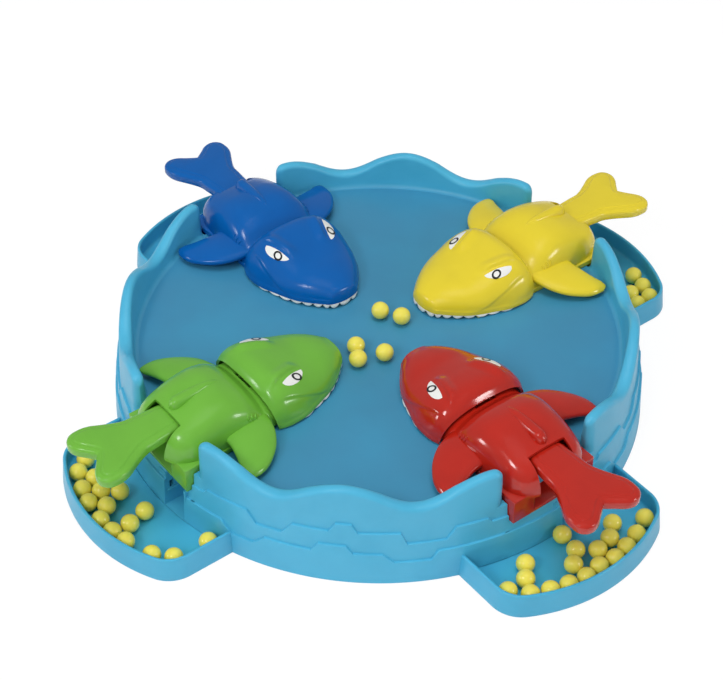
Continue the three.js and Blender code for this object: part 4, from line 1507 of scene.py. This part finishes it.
    def build(self) -> None:
        """Build the body and hand it over."""
        gills = [self.gill(side, index) for side in (-1, 1) for index in range(3)]
        fins = [self.pectoral(side) for side in (-1, 1)]
        shell = join(f"{self.colour}_body_shell", [self.hull(), self.dorsal(), *fins, *gills, *self.works()])
        polish(shell, 45)
        hand_over(shell, self.finish, "base", f"{self.colour}_body")


@dataclass
class TailLever:
    """A shark's tail: shaft, fluke, hub and lifting arm."""

    colour: str
    turn: Turn
    finish: Finish
    thickness: float = 4.4
    edge: float = 3.4
    skirt: float = 2.8
    middle_rise: float = 0.8
    cut_start: float = 164.5
    top_there: float = 67.9
    slope: float = 1.9 / 61.8
    pin: Point = (130.0, 61.0)
    underside: float = 60.05
    outline: Profile = field(default_factory=lambda: Profile([
        (0, 138, 11.2), (0.15, 150, 11.3), (0.27, 162, 11.4), (0.31, 166, 12.7), (0.36, 172, 13.0), (0.44, 182, 14.0),
        (0.5, 189, 14.7), (0.56, 196, 17.6), (0.61, 202, 20.8), (0.66, 208, 24.0), (0.72, 214.5, 25.4),
        (0.78, 221, 24.8), (0.835, 225, 21.4), (0.88, 226.2, 16.8), (0.92, 224.8, 11.6), (0.96, 220.6, 6.0),
        (1.0, 216.3, 0.0),
    ]))

    def top(self, out: float) -> float:
        """Height of the plate's top."""
        return self.top_there - (out - self.cut_start) * self.slope

    def path(self) -> list[tuple[Vector, Vector]]:
        """The plate's outline in plan.

        Returns:
            Each point with its inward direction.
        """
        steps = 110
        right = [Vector(self.outline(i / steps)) for i in range(steps + 1)]
        points = right + [Vector((point.x, -point.y)) for point in reversed(right[:-1])]
        count, path = len(points), []
        for index, point in enumerate(points):
            ahead = points[(index + 2) % count] - points[index - 2]
            path.append((point, Vector((ahead.y, -ahead.x)).normalized()))
        return path

    def plate(self) -> bpy.types.Object:
        """The plate with its pillowed edge and raised middle.

        Returns:
            The plate, closed.
        """
        path, full, edge, rise = self.path(), self.thickness + self.skirt, self.edge, self.middle_rise
        rows = [(3.0, 0.0), (1.0, 0.0), (0.3, 0.25), (0.0, 1.0), (0.0, full - 0.8 * edge)]
        for degrees in (12, 25, 40, 55, 72, 90):
            turn = math.radians(degrees)
            rows.append((edge * (1 - math.cos(turn)), full - 0.8 * edge * (1 - math.sin(turn))))
        rows += [(edge + inset, full + share * rise) for inset, share in ((0.9, 0), (1.2, 0.3), (1.6, 0.9), (2.1, 1))]

        def place(across: float, along: float) -> Vector:
            point, inward = path[round(across * len(path)) % len(path)]
            inset, level = rows[round(along * (len(rows) - 1))]
            out, side = point + inward * inset
            sunk = max(0.0, level - full) * (1 - smooth(out, 160, 168))
            return self.turn(out, side, self.top(out) - full + level - sunk)

        return loft("plate", len(path), len(rows) - 1, place)

    def works(self) -> list[bpy.types.Object]:
        """Hub, link and arm inside the body.

        Returns:
            The pieces.
        """
        (out, level), low = self.pin, self.underside
        made = [
            rod("hub", 4.2, (out, -6, level), (out, 6, level)),
            block("link", (out, -6, low), (142.5, 6, 65.2)),
            block("arm", (90.5, -4.5, low), (out, 4.5, 61.95)),
        ]
        return [self.turn.bring(piece) for piece in made]

    def build(self) -> None:
        """Build the tail and hand it over."""
        tail = join(f"{self.colour}_tail_moulding", [self.plate(), *self.works()])
        polish(tail, 50)
        hand_over(tail, self.finish, f"{self.colour}_press", f"{self.colour}_tail_lever")


@dataclass
class Shark:
    """One whole shark."""

    colour: str
    turn: Turn
    finish: Finish

    def chute(self) -> None:
        """The chute with softened edges."""
        node = f"{self.colour}_chute"
        piece = copy_node(node, f"{node}_moulding")
        modify(piece, "BEVEL", width=0.35 * MM, segments=2, limit_method="ANGLE", angle_limit=math.radians(50))
        polish(piece, 40)
        hand_over(piece, self.finish, "base", node)

    def build(self) -> None:
        """Build the shark from the chute up."""
        self.chute()
        Body(self.colour, self.turn, self.finish).build()
        head = Head(self.colour, self.turn, self.finish)
        head.build()
        Teeth(head).build()
        TailLever(self.colour, self.turn, self.finish).build()
        for part in ("tail_pin", "tail_spring"):
            Finish.STEEL.dress(bpy.data.objects[f"{self.colour}_{part}"])


# Balls


@dataclass
class Balls:
    """The loose balls: those of the frame and the others that lie in the trays."""

    radius: float = 6.0
    rest: float = 8.7
    seam: float = 0.05
    more: dict[float, list[Point]] = field(default_factory=lambda: {
        270.0: [(203.6, -33.6), (206.4, -21.4), (210.4, -8.0), (219.8, -0.2), (206.8, 13.6), (216.8, 24.5),
                (200.1, 53.6), (176.3, 55.8)],
        0.0: [(204.6, 22.7), (207.2, 10.3), (218.7, 14.0), (206.9, -9.7), (217.5, 1.9), (217.1, -22.7),
              (208.6, -46.1), (188.6, -32.6), (198.6, -55.4)],
    })

    def model(self) -> bpy.types.Object:
        """One ball with the fine seam of its mould.

        Returns:
            The ball, at the origin.
        """
        bpy.ops.mesh.primitive_uv_sphere_add(segments=40, ring_count=24, radius=self.radius * MM)
        ball = bpy.context.object
        for vertex in ball.data.vertices:
            if abs(vertex.co.z) < 0.02 * MM:
                vertex.co *= 1 + self.seam / self.radius
        polish(ball, 60)
        return ball

    def put(self, model: bpy.types.Object, name: str, centre: Vector, tilt: float) -> bpy.types.Object:
        """Copy the model to a place.

        Args:
            model: The ball to copy.
            name: The copy's name.
            centre: Its place in metres.
            tilt: How far its seam is turned.

        Returns:
            The copy.
        """
        ball = bpy.data.objects.new(name, model.data.copy())
        bpy.context.collection.objects.link(ball)
        turn = Matrix.Rotation(tilt, 4, "X") @ Matrix.Rotation(tilt * 2.3, 4, "Z")
        ball.data.transform(Matrix.Translation(centre) @ turn)
        return ball

    def build(self) -> None:
        """Put every ball in its place."""
        model = self.model()
        nodes = sorted(node for node in frame["nodes"] if "_ball_" in node)
        for index, node in enumerate(nodes):
            low, high = (Vector(corner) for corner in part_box(node))
            ball = self.put(model, f"{node}_moulding", (low + high) / 2, 1.1 * index)
            hand_over(ball, Finish.BALL, "loose_balls", node)
        further = [Turn(degrees)(*place, self.rest) for degrees, places in self.more.items() for place in places]
        for count, centre in enumerate(further, 1):
            ball = self.put(model, f"further_ball_{count}", centre, 0.9 * count)
            hand_over(ball, Finish.BALL, "loose_balls")
        bpy.data.objects.remove(model, do_unlink=True)


# Studio


@dataclass(frozen=True)
class Lamp:
    """A square soft lamp: its place and size in metres, its power in watts, and whether gloss mirrors it."""

    name: str
    place: tuple[float, float, float]
    size: float
    power: float
    mirrored: bool = True

    def hang(self) -> None:
        """Hang the lamp, aimed at the game."""
        data = bpy.data.lights.new(self.name, "AREA")
        data.shape, data.size, data.energy = "SQUARE", self.size, self.power
        lamp = bpy.data.objects.new(self.name, data)
        bpy.context.collection.objects.link(lamp)
        lamp.location = self.place
        lamp.visible_glossy = self.mirrored
        aim = Vector((0, 0, 0.05)) - Vector(self.place)
        lamp.rotation_euler = aim.to_track_quat("-Z", "Y").to_euler()


@dataclass
class Studio:
    """Floor, lamps, world and camera."""

    camera_place: tuple[float, float, float] = (0.7103, -0.5585, 0.8498)
    azimuth: float = 52.54
    elevation: float = 41.87
    lens: float = 90.34
    sensor: float = 36.0
    glow: float = 1.05
    glow_share: float = 0.85
    ambient: float = 0.33
    lamps: tuple[Lamp, ...] = (
        Lamp("overhead", (0.25, -0.2, 2.3), 1.2, 23, mirrored=False),
        Lamp("front", (0.9, -1.6, 1.6), 1.0, 10, mirrored=False),
        Lamp("key", (0.33, -1.5, 1.45), 0.34, 5.5),
        Lamp("left", (-0.95, -1.9, 0.7), 0.35, 5),
        Lamp("right", (1.78, 0.99, 0.84), 0.35, 5.5),
    )

    def floor(self) -> None:
        """A pale floor that shows white and keeps soft shadows."""
        bpy.ops.mesh.primitive_plane_add(size=12, location=(0, 0, -0.0002))
        plane = bpy.context.object
        plane.name = "studio_floor"
        graph = Graph(bpy.data.materials.new("studio_floor"))
        diffuse = graph.signal("ShaderNodeBsdfDiffuse", 0, {}, {"Color": (0.9, 0.9, 0.9, 1)})
        glow = graph.signal("ShaderNodeEmission", 0, {}, {"Color": (1, 1, 1, 1), "Strength": self.glow})
        inputs = {0: graph.seen() * self.glow_share, 1: diffuse, 2: glow}
        plane.data.materials.append(graph.finish(graph.signal("ShaderNodeMixShader", 0, {}, inputs)))

    def world(self) -> None:
        """An even pale world, white where the camera sees it."""
        graph = Graph(bpy.data.worlds.new("studio_world"))
        limits = {"Value": graph.seen(), "To Min": self.ambient, "To Max": 1.0}
        inputs = {"Color": (1, 1, 1, 1), "Strength": graph.signal("ShaderNodeMapRange", 0, {}, limits)}
        background = graph.signal("ShaderNodeBackground", 0, {}, inputs)
        bpy.context.scene.world = graph.finish(background, "ShaderNodeOutputWorld")

    def camera(self) -> None:
        """The camera at the photograph's place."""
        data = bpy.data.cameras.new("camera")
        data.lens, data.sensor_width = self.lens, self.sensor
        camera = bpy.data.objects.new("camera", data)
        bpy.context.collection.objects.link(camera)
        azimuth, elevation = math.radians(self.azimuth), math.radians(self.elevation)
        right = Vector((math.cos(azimuth), math.sin(azimuth), 0))
        level = Vector((math.sin(azimuth), -math.cos(azimuth), 0))
        back = level * math.cos(elevation) + Vector((0, 0, math.sin(elevation)))
        turn = Matrix((right, back.cross(right), back)).transposed().to_4x4()
        camera.matrix_world = Matrix.Translation(self.camera_place) @ turn
        bpy.context.scene.camera = camera

    def build(self) -> None:
        """Set up the studio."""
        self.floor()
        self.world()
        for lamp in self.lamps:
            lamp.hang()
        self.camera()
        bpy.context.scene.view_settings.view_transform = "Standard"


def main() -> None:
    """Build the studio, the basin, the trays, the sharks and the balls."""
    logging.basicConfig(level=logging.INFO, format="%(name)s: %(message)s")
    Studio().build()
    Basin().build()
    for colour, degrees, finish in (
        ("red", 0.0, Finish.RED),
        ("yellow", 90.0, Finish.YELLOW),
        ("blue", 180.0, Finish.BLUE),
        ("green", 270.0, Finish.GREEN),
    ):
        turn = Turn(degrees)
        Tray(colour, turn).build()
        Shark(colour, turn, finish).build()
    Balls().build()


if __name__ == "__main__":
    main()
